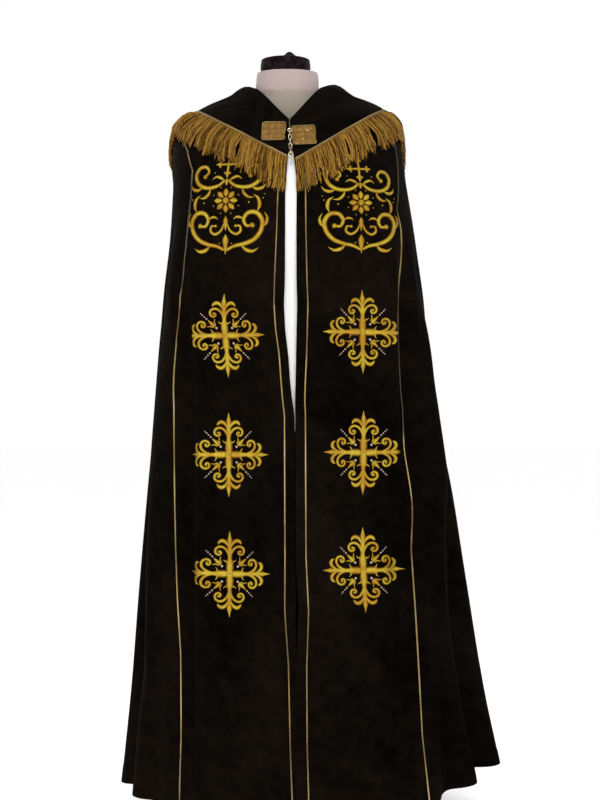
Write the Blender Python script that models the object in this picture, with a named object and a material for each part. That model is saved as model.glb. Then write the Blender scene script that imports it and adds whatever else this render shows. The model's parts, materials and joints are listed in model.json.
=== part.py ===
"""Cope vestment on a limbless dress form: every cloth piece is a closed wall, in metres, +Z up.

The drape is one surface. A point on it has a cloth place, which runs round the wearer, and a level,
which runs down from the neckline. Whole cloth places are the seams:
0 left front edge, 1 left inner piping, 2 left outer piping, 3 right outer piping,
4 right inner piping, 5 right front edge. A level is the height of its ring at the front.
"""

import math

import bpy
import numpy as np

# Driving dimensions, in metres
WALL = 0.002
SEAM_GAP = 0.0003
FULL_RING = 1.20  # rings at least this long carry the orphreys at full width
WIDEST_Y = 0.02  # how far behind the form's axis each ring is widest
BACK_SQUARENESS = 2.15
BACK_RISE = 2.0

HOOD_LIFT = 0.0056  # from the cope's face to the hood's underside
HOOD_BACK_EDGE = 1.120  # the ring that the hood's point reaches at the centre of the back
HOOD_TURN = 0.235  # share of the way round at which the edge starts down to that point
HOOD_ROWS = 10
HOOD_COLUMNS = ((6, 0.18), (15, 0.41), (6, 0.59), (15, 0.82), (6, 1.0))  # even steps to each share

# The rings that the hood's front edge follows, by the share of the way round.
HOOD_LINE = (
    (0.0, 1.3150),
    (0.024, 1.3185),
    (0.090, 1.3235),
    (0.183, 1.3280),
    (0.240, 1.3300),
    (0.760, 1.3262),
    (0.830, 1.3242),
    (0.906, 1.3202),
    (0.944, 1.3173),
    (0.973, 1.3145),
    (1.0, 1.3097),
)

PIPING_RADIUS = 0.0015
PIPING_SIDES = 6
PIPING_START = 3  # the row of the panels at which the piping comes out from under the hood

FRINGE_LENGTH = 0.068
FRINGE_HEADING = 0.009
HEADING_GAP = 0.0022
FRONT_RUN = (0.0015, 0.2500)  # each run's ends, as shares of the way round from the left front edge
BACK_RUN = (0.2510, 0.4995)
STRAND_PITCH = 0.0088
STRAND_WIDTH = 0.0060
STRAND_TAPER = ((0.5, 0.80), (1.0, 0.65))  # share of the length, share of the width

# The morse plates: the x of each one's middle, the ring it lies on, and its tilt in the face's plane.
PLATES = (
    ("morse_plate_left", -0.0277, 1.3430, 0.0),
    ("morse_plate_right", 0.0292, 1.3385, 0.06),
)
PLATE_WIDTH = 0.045
PLATE_HEIGHT = 0.042
PLATE_DEPTH = 0.002
PLATE_CLEARANCE = 0.0022

FORM_SIDES = 24
BASE_RADIUS = 0.165
BASE_HEIGHT = 0.014
POLE_RADIUS = 0.014
FORM_BOTTOM = 0.79

# One row for each ring of the drape, from the neckline to the hem.
RING_COLUMNS = (
    *("front_z", "left_z", "right_z", "back_z", "left", "right"),
    *("front_y", "back_y", "squareness", "rise"),
)
RINGS = (
    (1.385, 1.468, 1.471, 1.476, 0.071, 0.071, -0.120, 0.078, 1.60, 1.0),
    (1.372, 1.472, 1.476, 1.478, 0.088, 0.092, -0.128, 0.098, 1.55, 1.0),
    (1.352, 1.448, 1.453, 1.452, 0.124, 0.128, -0.137, 0.122, 1.55, 1.0),
    (1.322, 1.411, 1.419, 1.396, 0.203, 0.196, -0.148, 0.150, 1.75, 1.05),
    (1.295, 1.365, 1.365, 1.335, 0.229, 0.220, -0.152, 0.163, 2.15, 1.3),
    (1.250, 1.270, 1.270, 1.240, 0.232, 0.236, -0.155, 0.176, 2.70, 2.0),
    (1.030, 1.050, 1.050, 1.030, 0.248, 0.264, -0.168, 0.208, 3.10, 2.0),
    (0.850, 0.872, 0.872, 0.855, 0.2590, 0.279, -0.180, 0.240, 3.20, 2.0),
    (0.650, 0.675, 0.675, 0.660, 0.271, 0.312, -0.193, 0.280, 3.20, 2.0),
    (0.450, 0.480, 0.484, 0.465, 0.280, 0.335, -0.206, 0.322, 3.10, 2.1),
    (0.250, 0.280, 0.300, 0.270, 0.287, 0.358, -0.220, 0.362, 3.00, 3.0),
    (0.068, 0.090, 0.148, 0.092, 0.298, 0.385, -0.234, 0.396, 2.90, 4.0),
)

# The rows of points down every panel, so that the seams meet: even steps down to each level.
PANEL_ROWS = ((2, 1.336), (3, 1.286), (1, 1.250), (2, 1.030), (6, 0.068))
ORPHREY_COLUMNS = (0.0, 0.14, 0.28, 0.42, 0.56, 0.68, 0.78, 0.86, 0.93, 1.0)  # closer near the folds

# The front by height: where each front edge hangs, and how much of the ring its plain band and its
# orphrey take up. A soft fold takes some of the orphrey's cut width.
FRONT_COLUMNS = ("z", "left_x", "right_x", "left_band", "right_band", "left_orphrey", "right_orphrey")
FRONT = (
    (1.385, -0.0030, 0.0066, 0.012, 0.012, 0.206, 0.226),
    (1.325, -0.0009, 0.0094, 0.012, 0.0136, 0.204, 0.226),
    (1.285, -0.0035, 0.0140, 0.013, 0.0155, 0.204, 0.226),
    (1.250, -0.0067, 0.0144, 0.014, 0.017, 0.204, 0.226),
    (1.080, -0.0067, 0.0144, 0.020, 0.020, 0.210, 0.212),
    (0.950, -0.0040, 0.0144, 0.017, 0.0205, 0.219, 0.2125),
    (0.870, 0.0030, 0.0142, 0.016, 0.018, 0.225, 0.217),
    (0.820, 0.0110, 0.0142, 0.019, 0.019, 0.2252, 0.219),
    (0.550, 0.0120, 0.0145, 0.0185, 0.019, 0.221, 0.208),
    (0.450, 0.0122, 0.0198, 0.0175, 0.019, 0.218, 0.2095),
    (0.350, 0.0136, 0.0150, 0.0125, 0.020, 0.2192, 0.216),
    (0.200, 0.0145, 0.0153, 0.0098, 0.0205, 0.221, 0.2215),
    (0.068, 0.0150, 0.0158, 0.0065, 0.0238, 0.2275, 0.2325),
)

# How far each outer seam leaves its usual place towards the shoulder, by ring.
LEFT_SEAM = (
    (1.322, 0.070),
    (1.303, 0.054),
    (1.286, -0.004),
    (1.268, -0.118),
    (1.235, -0.138),
    (1.147, -0.117),
    (1.038, -0.025),
    (0.953, 0.0),
)
RIGHT_SEAM = (
    (1.322, -0.030),
    (1.290, 0.020),
    (1.250, 0.110),
    (1.220, 0.165),
    (1.188, 0.105),
    (1.158, 0.078),
    (1.093, 0.041),
    (0.990, 0.0),
)

# The flutes of the body, from the left outer piping round the back to the right outer piping.
# place is the share of the way, height is how far the crest stands out at the hem, and top is
# where the flute starts.
FLUTE_COLUMNS = ("place", "height", "top")
FLUTES = (
    (0.000, 0.000, 0.80),
    (0.062, 0.022, 0.95),
    (0.128, 0.037, 1.02),
    (0.190, 0.032, 1.10),
    (0.248, 0.036, 1.14),
    (0.310, 0.041, 1.08),
    (0.368, 0.036, 1.12),
    (0.425, 0.044, 1.05),
    (0.487, 0.046, 1.14),
    (0.548, 0.038, 1.06),
    (0.607, 0.045, 1.12),
    (0.668, 0.037, 1.05),
    (0.727, 0.042, 1.12),
    (0.785, 0.034, 1.08),
    (0.838, 0.032, 1.10),
    (0.892, 0.040, 1.00),
    (0.945, 0.022, 0.94),
    (1.000, 0.000, 0.80),
)
POINTS_PER_FLUTE = 6
FLUTE_SWELL = 0.24  # how far a flute's flanks spread along the ring, as a share of its height

# The long soft folds of the front, by their distance from the front edge.
FOLD_COLUMNS = ("side", "distance", "half_width", "depth", "top", "bottom")
FOLDS = (
    ("left", 0.214, 0.034, -0.026, 1.20, -0.10),
    ("left", 0.292, 0.050, 0.010, 1.05, 0.02),
    ("right", 0.232, 0.036, -0.032, 1.24, 0.62),
    ("right", 0.306, 0.044, 0.016, 1.16, 0.58),
    ("right", 0.200, 0.042, -0.022, 0.84, -0.10),
    ("right", 0.318, 0.040, -0.014, 0.60, -0.05),
)

# The dress form: one row for each ring, from its lower edge up to the top of the neck.
FORM_COLUMNS = ("z", "half_width", "half_depth", "y", "x")
FORM_RINGS = (
    (FORM_BOTTOM, 0.150, 0.098, 0.004, 0.000),
    (0.800, 0.164, 0.108, 0.004, 0.000),
    (0.860, 0.176, 0.117, 0.004, 0.000),
    (0.940, 0.170, 0.114, 0.002, 0.000),
    (1.020, 0.148, 0.104, 0.000, 0.000),
    (1.080, 0.138, 0.099, 0.000, 0.000),
    (1.150, 0.149, 0.107, 0.000, 0.000),
    (1.240, 0.168, 0.116, 0.000, 0.000),
    (1.310, 0.177, 0.111, 0.004, 0.000),
    (1.360, 0.176, 0.100, 0.008, 0.000),
    (1.390, 0.166, 0.090, 0.010, 0.000),
    (1.408, 0.148, 0.081, 0.012, 0.000),
    (1.422, 0.118, 0.073, 0.012, 0.000),
    (1.434, 0.086, 0.066, 0.010, 0.000),
    (1.448, 0.067, 0.062, 0.008, -0.001),
    (1.475, 0.063, 0.060, 0.004, -0.003),
    (1.495, 0.062, 0.059, 0.002, -0.003),
    (1.502, 0.060, 0.057, 0.002, -0.003),
)

# The neck cap and the knob on it are turned: radius and height of each step of their profiles.
CAP_PROFILE = ((0.0475, 1.5025), (0.0487, 1.5060), (0.0487, 1.5260), (0.0468, 1.5302), (0.0330, 1.5312))
KNOB_PROFILE = ((0.0235, 1.5315), (0.0240, 1.5330), (0.0150, 1.5380), (0.0080, 1.5425), (0.0030, 1.5470))
CAP_MIDDLE = (-0.0070, 0.002)
KNOB_MIDDLE = (0.0010, 0.002)

# The fastening that hangs at the opening: each oval link hangs in the one before it.
LINK_COLUMNS = ("name", "x", "half_width", "half_height", "wire", "turn")
LINKS = (
    ("clasp_hook", 0.0022, 0.0044, 0.0036, 0.0008, 0.0),
    ("clasp_eye", 0.0026, 0.0036, 0.0056, 0.0008, 90.0),
    ("chain_link_1", 0.0030, 0.0034, 0.0060, 0.0007, 0.0),
    ("chain_link_2", 0.0034, 0.0034, 0.0060, 0.0007, 90.0),
    ("chain_link_3", 0.0038, 0.0034, 0.0060, 0.0007, 0.0),
    ("chain_link_4", 0.0042, 0.0034, 0.0060, 0.0007, 90.0),
    ("chain_ring", 0.0046, 0.0053, 0.0085, 0.0009, 0.0),
    ("chain_drop", 0.0050, 0.0034, 0.0066, 0.0008, 90.0),
)
HOOK_Z = 1.3655
LINK_Y = -0.1640
LINK_GAP = 0.0007
LINK_STEPS = 10
LINK_SIDES = 4

# Colour, roughness and metallic value of each material
FINISHES = {
    "black_cloth": ((0.012, 0.009, 0.008, 1.0), 0.85, 0.0),
    "gold_thread": ((0.42, 0.25, 0.05, 1.0), 0.45, 0.3),
    "gold_piping": ((0.36, 0.24, 0.08, 1.0), 0.45, 0.5),
    "brocade": ((0.34, 0.20, 0.06, 1.0), 0.5, 0.4),
    "gilt_metal": ((0.70, 0.55, 0.30, 1.0), 0.3, 1.0),
    "form_jersey": ((0.62, 0.54, 0.50, 1.0), 0.8, 0.0),
    "black_cap": ((0.02, 0.014, 0.018, 1.0), 0.4, 0.0),
    "stand_metal": ((0.30, 0.30, 0.31, 1.0), 0.35, 1.0),
}

# How finely the drape is worked out before any piece is cut from it
DENSE_LEVELS = 260
DENSE_ANGLES = 1440
DENSE_SECTIONS = (6, 90, 1300, 90, 6)
FINE_STEPS = 2000


def table(columns, rows):
    """The rows as a dictionary of arrays, one for each named column."""
    return {name: np.array(values) for name, values in zip(columns, zip(*rows))}


def smooth(knots, values, at):
    """A cubic curve through (knots, values), read at `at`. The knots may rise or fall."""
    if knots[0] > knots[-1]:
        knots, values = knots[::-1], values[::-1]
    slopes = np.gradient(values, knots)
    at = np.clip(at, knots[0], knots[-1])
    i = np.clip(np.searchsorted(knots, at) - 1, 0, len(knots) - 2)
    width = knots[i + 1] - knots[i]
    t = (at - knots[i]) / width
    rest = 1 - t
    ends = values[i] * (1 + 2 * t) * rest**2 + values[i + 1] * (3 - 2 * t) * t**2
    return ends + width * (slopes[i] * t * rest**2 - slopes[i + 1] * rest * t**2)


def hump(t):
    """1 at t = 0, falling smoothly to 0 at t = -1 and t = 1."""
    return np.cos(np.clip(t, -1, 1) * math.pi / 2) ** 2


def ramp(t):
    """0 up to t = 0, rising smoothly to 1 from t = 1 on."""
    t = np.clip(t, 0, 1)
    return t * t * (3 - 2 * t)


def seam_place(seam, levels):
    """The place of a seam on each of these rings."""
    shift = {2: LEFT_SEAM, 3: RIGHT_SEAM}.get(seam, ((0.0, 0.0),))
    return seam + np.interp(levels, *zip(*shift[::-1]))


def front_widths(levels):
    """Each column of FRONT after its height, read at these levels."""
    front = table(FRONT_COLUMNS, FRONT)
    return [np.interp(levels, front["z"][::-1], front[name][::-1]) for name in FRONT_COLUMNS[1:]]


def plain_rings(levels):
    """Each ring before its folds: its points, how far along it they lie, and where the edges cut it."""
    rings = table(RING_COLUMNS, RINGS)
    ring = {name: smooth(rings["front_z"], rings[name], levels)[:, None] for name in RING_COLUMNS[1:]}
    left_x, right_x = front_widths(levels)[:2]
    middle = ((left_x + right_x) / 2)[:, None]
    angle = np.linspace(0, 2 * math.pi, DENSE_ANGLES + 1)[None, :]
    across = np.sin(angle)
    ahead = np.cos(angle)
    in_front = ahead > 0
    power = 2 / np.where(in_front, ring["squareness"], BACK_SQUARENESS)
    reach = np.abs(across) ** power
    x = middle + reach * np.where(across > 0, -(ring["left"] + middle), ring["right"] - middle)
    depth = np.where(in_front, ring["front_y"], ring["back_y"]) - WIDEST_Y
    y = WIDEST_Y + depth * np.abs(ahead) ** power
    end_z = np.where(in_front, levels[:, None], ring["back_z"])
    side_z = np.where(across > 0, ring["left_z"], ring["right_z"])
    z = end_z + (side_z - end_z) * reach ** np.where(in_front, ring["rise"], BACK_RISE)
    points = np.stack([x, y, z], axis=-1)
    steps = np.linalg.norm(np.diff(points, axis=1), axis=-1)
    along = np.concatenate([np.zeros((len(levels), 1)), np.cumsum(steps, axis=1)], axis=1)
    starts = middle[:, 0] - left_x
    ends = along[:, -1] - (right_x - middle[:, 0])
    return points, along, starts, ends


def seam_distances(levels, lengths):
    """How far along each ring the six seams lie, from the left front edge."""
    left_band, right_band, left_orphrey, right_orphrey = front_widths(levels)[2:]
    share = np.minimum(lengths / FULL_RING, 1)
    zero = np.zeros(len(levels))
    return np.stack(
        [
            zero,
            left_band * share,
            (left_band + left_orphrey) * share,
            lengths - (right_band + right_orphrey) * share,
            lengths - right_band * share,
            lengths,
        ],
        axis=1,
    )


def flute_offsets(place, z):
    """How far the body's flutes move a point out of its ring, and along it."""
    flutes = table(FLUTE_COLUMNS, FLUTES)
    turns = smooth(flutes["place"], np.arange(len(FLUTES), dtype=float), place)
    height = smooth(flutes["place"], flutes["height"], place)
    top = smooth(flutes["place"], flutes["top"], place)
    hem = RINGS[-1][0]
    growth = np.clip((top - z) / (top - hem), 0, None) ** 1.15
    height = np.clip(height, 0, None) * growth
    return height * np.cos(2 * math.pi * turns), FLUTE_SWELL * height * np.sin(4 * math.pi * turns)


def front_folds(from_left, from_right, z):
    """How far the long folds of the front move a point out of its ring."""
    out = np.zeros_like(z)
    for side, distance, half_width, depth, top, bottom in FOLDS:
        away = from_left if side == "left" else from_right
        fade = ramp((top - z) / 0.25) * ramp((z - bottom) / 0.15)
        out += depth * fade * hump((away - distance) / half_width)
    return out


class Drape:
    """The cope's outer face, worked out once on a fine grid that every cloth piece reads."""

    def __init__(self):
        self.levels = np.linspace(RINGS[0][0], RINGS[-1][0], DENSE_LEVELS)
        points, along, starts, ends = plain_rings(self.levels)
        lengths = ends - starts
        self.seams = seam_distances(self.levels, lengths)
        self.places = np.concatenate(
            [k + np.arange(count) / count for k, count in enumerate(DENSE_SECTIONS)] + [[5.0]]
        )
        rows = []
        for i in range(DENSE_LEVELS):
            distance = np.interp(self.places, np.arange(6), self.seams[i])
            rows.append([np.interp(starts[i] + distance, along[i], points[i, :, axis]) for axis in range(3)])
        plain = np.moveaxis(np.array(rows), 1, 2)
        distances = np.array([np.interp(self.places, np.arange(6), seams) for seams in self.seams])
        tangent = np.gradient(plain, axis=1)
        tangent[..., 2] = 0
        tangent /= np.linalg.norm(tangent, axis=-1, keepdims=True)
        outward = np.stack([-tangent[..., 1], tangent[..., 0], np.zeros_like(tangent[..., 0])], axis=-1)
        z = plain[..., 2]
        body = np.broadcast_to(np.clip(self.places - 2, 0, 1), z.shape)
        out, sideways = flute_offsets(body, z)
        out = out + front_folds(distances, lengths[:, None] - distances, z)
        self.points = plain + outward * out[..., None] + tangent * sideways[..., None]
        across = np.gradient(self.points, axis=1)
        down = np.gradient(self.points, axis=0)
        normal = np.cross(across, down)
        self.normals = normal / np.linalg.norm(normal, axis=-1, keepdims=True)
        self.stretch = np.linalg.norm(across, axis=-1) / np.gradient(self.places)
        falls = np.linalg.norm(np.diff(self.points, axis=0), axis=-1)
        self.falls = np.concatenate([np.zeros((1, falls.shape[1])), np.cumsum(falls, axis=0)])

    def read(self, grid, place, level):
        """The grid's values at (place, level), between its four nearest points."""
        i = np.interp(-np.asarray(level), -self.levels, np.arange(DENSE_LEVELS))
        j = np.interp(place, self.places, np.arange(len(self.places)))
        i0 = np.minimum(i.astype(int), DENSE_LEVELS - 2)
        j0 = np.minimum(j.astype(int), len(self.places) - 2)
        a = i - i0
        b = j - j0
        if grid.ndim == 3:
            a = a[..., None]
            b = b[..., None]
        upper = grid[i0, j0] * (1 - b) + grid[i0, j0 + 1] * b
        lower = grid[i0 + 1, j0] * (1 - b) + grid[i0 + 1, j0 + 1] * b
        return upper * (1 - a) + lower * a

    def point(self, place, level, lift=0.0):
        """The point at (place, level), moved out of the cloth by lift."""
        place, level = np.broadcast_arrays(np.asarray(place, float), np.asarray(level, float))
        lift = np.broadcast_to(np.asarray(lift, float), place.shape)[..., None]
        return self.read(self.points, place, level) + self.read(self.normals, place, level) * lift

    def sideways(self, place, level, metres):
        """The place that lies this many metres further round."""
        return place + metres / self.read(self.stretch, place, level)

    def fall(self, place, level):
        """How far down the cloth (place, level) lies from the neckline."""
        return self.read(self.falls, np.asarray(place, float), np.asarray(level, float))

    def lower(self, place, level, metres):
        """The level that lies this many metres further down the cloth."""
        place, level, metres = np.broadcast_arrays(*(np.asarray(v, float) for v in (place, level, metres)))
        j = np.rint(np.interp(place, self.places, np.arange(len(self.places)))).astype(int)
        found = np.empty(place.shape)
        for k in np.ndindex(place.shape):
            fall = self.falls[:, j[k]]
            start = np.interp(-level[k], -self.levels, fall)
            found[k] = np.interp(start + metres[k], fall, self.levels)
        return found


def material(slot):
    """The named material, made the first time that it is asked for."""
    found = bpy.data.materials.get(slot)
    if found:
        return found
    colour, roughness, metallic = FINISHES[slot]
    made = bpy.data.materials.new(slot)
    made.use_nodes = True
    shader = made.node_tree.nodes["Principled BSDF"]
    shader.inputs["Base Color"].default_value = colour
    shader.inputs["Roughness"].default_value = roughness
    shader.inputs["Metallic"].default_value = metallic
    made.diffuse_color = colour
    return made


def add_piece(name, vertices, faces, slot):
    """A new mesh object in the scene, from its points and faces."""
    mesh = bpy.data.meshes.new(name)
    mesh.from_pydata([tuple(map(float, v)) for v in vertices], [], [tuple(map(int, f)) for f in faces])
    mesh.materials.append(material(slot))
    mesh.shade_smooth()
    mesh.set_sharp_from_angle(angle=math.radians(50))
    piece = bpy.data.objects.new(name, mesh)
    bpy.context.scene.collection.objects.link(piece)
    return piece


def add_wall(name, outer, inner, slot):
    """A closed wall between two grids of points, outer and inner, both rows x columns x 3."""
    rows, columns = outer.shape[:2]
    index = np.arange(rows * columns).reshape(rows, columns)
    behind = rows * columns
    quads = np.stack([index[:-1, :-1], index[:-1, 1:], index[1:, 1:], index[1:, :-1]], axis=-1)
    quads = quads.reshape(-1, 4)
    rim = np.concatenate([index[0, :-1], index[:-1, -1], index[-1, :0:-1], index[:0:-1, 0]])
    following = np.roll(rim, -1)
    edge = np.stack([following, rim, rim + behind, following + behind], axis=-1)
    edge[1 - rows :] = np.roll(edge[1 - rows :], -1, axis=1)  # both sides of a seam split alike
    vertices = np.concatenate([outer.reshape(-1, 3), inner.reshape(-1, 3)])
    return add_piece(name, vertices, np.concatenate([quads, quads[:, [0, 3, 2, 1]] + behind, edge]), slot)


def add_panel(drape, name, start, end, columns, levels, slot="black_cloth"):
    """A cut panel of the cope from seam `start` to seam `end`, half a seam gap short of each."""
    level = np.repeat(np.array(levels)[:, None], len(columns), axis=1)
    first = drape.sideways(seam_place(start, level[:, 0]), level[:, 0], SEAM_GAP / 2)
    last = drape.sideways(seam_place(end, level[:, 0]) - 1e-9, level[:, 0], -SEAM_GAP / 2)
    place = first[:, None] + (last - first)[:, None] * np.array(columns)[None, :]
    add_wall(name, drape.point(place, level), drape.point(place, level, -WALL), slot)


def level_steps(counts_and_ends, top):
    """Levels from the top down: each (count, end) adds that many even steps down to end."""
    levels = [top]
    for count, end in counts_and_ends:
        levels += list(np.linspace(levels[-1], end, count + 1)[1:])
    return levels


def build_panels(drape):
    """The body, the two orphreys and the two plain front bands."""
    levels = level_steps(PANEL_ROWS, RINGS[0][0])
    flutes = table(FLUTE_COLUMNS, FLUTES)
    turns = np.linspace(0, len(FLUTES) - 1, POINTS_PER_FLUTE * (len(FLUTES) - 1) + 1)
    fine = np.linspace(0, 1, FINE_STEPS)
    phase = smooth(flutes["place"], np.arange(len(FLUTES), dtype=float), fine)
    add_panel(drape, "cope_body", 2, 3, np.interp(turns, phase, fine), levels)
    across = np.array(ORPHREY_COLUMNS)
    add_panel(drape, "orphrey_left", 1, 2, across, levels)
    add_panel(drape, "orphrey_right", 3, 4, 1 - across[::-1], levels)
    add_panel(drape, "front_band_left", 0, 1, (0.0, 1.0), levels)
    add_panel(drape, "front_band_right", 4, 5, (0.0, 1.0), levels)


def add_piping(drape, name, seam):
    """A gold cord laid along a seam, from under the hood to the hem."""
    levels = np.array(level_steps(PANEL_ROWS, RINGS[0][0]))[PIPING_START:]
    place = seam_place(seam, levels)
    centre = drape.point(place, levels, PIPING_RADIUS + 2 * SEAM_GAP)
    outward = drape.read(drape.normals, place, levels)
    along = np.gradient(centre, axis=0)
    along /= np.linalg.norm(along, axis=1, keepdims=True)
    aside = np.cross(along, outward)
    aside /= np.linalg.norm(aside, axis=1, keepdims=True)
    outward = np.cross(aside, along)
    angle = 2 * math.pi * np.arange(PIPING_SIDES) / PIPING_SIDES
    ring = np.cos(angle)[None, :, None] * aside[:, None] + np.sin(angle)[None, :, None] * outward[:, None]
    add_tube(name, centre[:, None] + PIPING_RADIUS * ring, "gold_piping")


def add_tube(name, rings, slot):
    """A closed solid through rings of points, rows x sides x 3, with flat ends."""
    rows, sides = rings.shape[:2]
    index = np.arange(rows * sides).reshape(rows, sides)
    beside = np.roll(index, -1, axis=1)
    quads = np.stack([index[:-1], beside[:-1], beside[1:], index[1:]], axis=-1).reshape(-1, 4)
    faces = [tuple(q) for q in quads] + [tuple(index[0, ::-1]), tuple(index[-1])]
    return outward_piece(name, rings.reshape(-1, 3), faces, slot)


def outward_piece(name, vertices, faces, slot):
    """A piece whose faces are turned round if they enclose a negative volume."""
    vertices = np.asarray(vertices, float)
    volume = 0.0
    for face in faces:
        first = vertices[face[0]]
        for a, b in zip(face[1:-1], face[2:]):
            volume += np.dot(first, np.cross(vertices[a], vertices[b]))
    if volume < 0:
        faces = [tuple(face[::-1]) for face in faces]
    return add_piece(name, vertices, faces, slot)


def share_to_place(drape, share):
    """The cloth place at a share of the way round the ring where the orphreys reach full width."""
    row = int(np.argmax(drape.seams[:, -1] >= FULL_RING))
    return np.interp(share, drape.seams[row] / drape.seams[row, -1], np.arange(6))


def hood_edge(share):
    """The level of the hood's edge: a ring at the front, dropping to a point at the centre of the back."""
    t = np.abs(np.asarray(share) - 0.5) / (0.5 - HOOD_TURN)
    ring = np.interp(share, *zip(*HOOD_LINE))
    return ring - (ring - HOOD_BACK_EDGE) * hump(t) ** 0.8


def build_hood(drape):
    """The hood, which lies over the shoulders and the top of the back."""
    share = np.array(level_steps(HOOD_COLUMNS, 0.0))
    place = share_to_place(drape, share)
    place[0] = drape.sideways(place[:1], HOOD_LINE[0][1], 2 * SEAM_GAP)[0]
    place[-1] = drape.sideways(place[-1:] - 1e-9, HOOD_LINE[-1][1], -2 * SEAM_GAP)[0]
    length = drape.fall(place, hood_edge(share))
    down = np.linspace(0, 1, HOOD_ROWS + 1)[:, None] * length[None, :]
    place = np.repeat(place[None, :], len(down), axis=0)
    level = drape.lower(place, RINGS[0][0], down)
    outer = drape.point(place, level, HOOD_LIFT + WALL)
    add_wall("hood", outer, drape.point(place, level, HOOD_LIFT), "black_cloth")


def add_fringe(drape, name, share_start, share_end):
    """A fringe along the hood's edge: strands whose roots are fused into a narrow heading."""
    fine = np.linspace(share_start, share_end, FINE_STEPS)
    line = drape.point(share_to_place(drape, fine), hood_edge(fine), HOOD_LIFT)
    along = np.concatenate([[0], np.cumsum(np.linalg.norm(np.diff(line, axis=0), axis=1))])
    count = int(along[-1] / STRAND_PITCH)
    middles = (np.arange(count) + 0.5) * along[-1] / count
    edges = np.stack([middles - STRAND_WIDTH / 2, middles + STRAND_WIDTH / 2], axis=1).ravel()
    share = np.interp(edges, along, fine)
    place = share_to_place(drape, share)
    top = drape.lower(place, hood_edge(share), HEADING_GAP)
    foot = drape.lower(place, hood_edge(share), FRINGE_HEADING)
    heading_top = drape.point(place, top, HOOD_LIFT + WALL / 2)
    outer = drape.point(place, foot, HOOD_LIFT + WALL)
    inner = drape.point(place, foot, HOOD_LIFT)
    vertices = list(np.stack([heading_top, outer, inner], axis=1).reshape(-1, 3))
    faces = []
    for k in range(len(edges) - 1):
        a, b = 3 * k, 3 * (k + 1)
        faces += [(a, b, b + 1, a + 1), (a, a + 2, b + 2, b)]
        if k % 2:
            faces.append((a + 1, b + 1, b + 2, a + 2))
    last = 3 * (len(edges) - 1)
    faces += [(0, 1, 2), (last, last + 2, last + 1)]
    for k in range(count):
        add_strand(drape, vertices, faces, 6 * k, place[2 * k : 2 * k + 2], foot[2 * k : 2 * k + 2], k)
    outward_piece(name, vertices, faces, "gold_thread")


def add_strand(drape, vertices, faces, root, places, feet, number):
    """One four-sided strand, which grows from the heading's lower edge at vertex `root`."""
    middle = places.mean()
    level = feet.mean()
    length = FRINGE_LENGTH * (1 + 0.06 * math.sin(2.4 * number))
    ring = (root + 1, root + 4, root + 5, root + 2)
    for share, width in STRAND_TAPER:
        reached = float(drape.lower(middle, level, share * (length - FRINGE_HEADING)))
        half = width * STRAND_WIDTH / 2
        sides = [float(drape.sideways(np.array(middle), reached, d)) for d in (-half, half)]
        corners = [(sides[0], WALL), (sides[1], WALL), (sides[1], 0.0), (sides[0], 0.0)]
        first = len(vertices)
        vertices += [drape.point(place, reached, HOOD_LIFT + lift) for place, lift in corners]
        following = tuple(range(first, first + 4))
        faces += [
            (ring[j], ring[(j + 1) % 4], following[(j + 1) % 4], following[j]) for j in range(4)
        ]
        ring = following
    faces.append(ring)


def build_fringes(drape):
    """The fringe in four runs: over each shoulder at the front, and down each side of the back."""
    for name, start, end in (("fringe_front", *FRONT_RUN), ("fringe_back", *BACK_RUN)):
        add_fringe(drape, name + "_left", start, end)
        add_fringe(drape, name + "_right", 1 - end, 1 - start)


def add_plate(drape, name, x, level, slant):
    """A stiff brocade plate that lies flat on the hood beside the opening."""
    places = np.concatenate([np.linspace(0, 2, FINE_STEPS), np.linspace(3, 5, FINE_STEPS)])
    ring_x = drape.point(places, level)[:, 0]
    place = places[np.argmin(np.abs(ring_x - x))]
    level = np.array(float(level))
    middle = drape.point(place, level, HOOD_LIFT + WALL + PLATE_CLEARANCE)
    outward = drape.read(drape.normals, place, level)
    right = np.cross(np.array([0.0, 0.0, 1.0]), outward)
    right /= -np.linalg.norm(right)
    right = -right if right[0] < 0 else right
    up = np.cross(outward, right)
    up = -up if up[2] < 0 else up
    right, up = (
        right * math.cos(slant) + up * math.sin(slant),
        up * math.cos(slant) - right * math.sin(slant),
    )
    corners = [(-1, -1), (1, -1), (1, 1), (-1, 1)]
    flat = [middle + right * (sx * PLATE_WIDTH / 2) + up * (sz * PLATE_HEIGHT / 2) for sx, sz in corners]
    rings = np.array([flat, [point + outward * PLATE_DEPTH for point in flat]])
    add_tube(name, rings, "brocade")


def build_clasp():
    """The hook, the eye, the chain, its ring and its drop, each hung in the one before it."""
    z = HOOK_Z
    held = None
    for name, x, half_width, half_height, wire, turn in LINKS:
        if held is not None:
            z = held + wire + LINK_GAP - (half_height - wire)
        add_link(name, x, z, half_width, half_height, wire, math.radians(turn))
        held = z - half_height + 2 * wire


def add_link(name, x, z, half_width, half_height, wire, turn):
    """One oval link of wire, turned about the vertical."""
    step = 2 * math.pi * np.arange(LINK_STEPS) / LINK_STEPS
    side = 2 * math.pi * np.arange(LINK_SIDES) / LINK_SIDES
    across = np.cos(step)[:, None] * (half_width - wire + wire * np.cos(side)[None, :])
    upward = np.sin(step)[:, None] * (half_height - wire + wire * np.cos(side)[None, :])
    depth = np.broadcast_to(wire * np.sin(side), across.shape)
    points = np.stack(
        [
            x + across * math.cos(turn) - depth * math.sin(turn),
            LINK_Y + across * math.sin(turn) + depth * math.cos(turn),
            z + upward,
        ],
        axis=-1,
    )
    index = np.arange(LINK_STEPS * LINK_SIDES).reshape(LINK_STEPS, LINK_SIDES)
    corners = [index, np.roll(index, -1, 1), np.roll(np.roll(index, -1, 0), -1, 1), np.roll(index, -1, 0)]
    faces = [tuple(f) for f in np.stack(corners, axis=-1).reshape(-1, 4)]
    outward_piece(name, points.reshape(-1, 3), faces, "gilt_metal")


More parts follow.
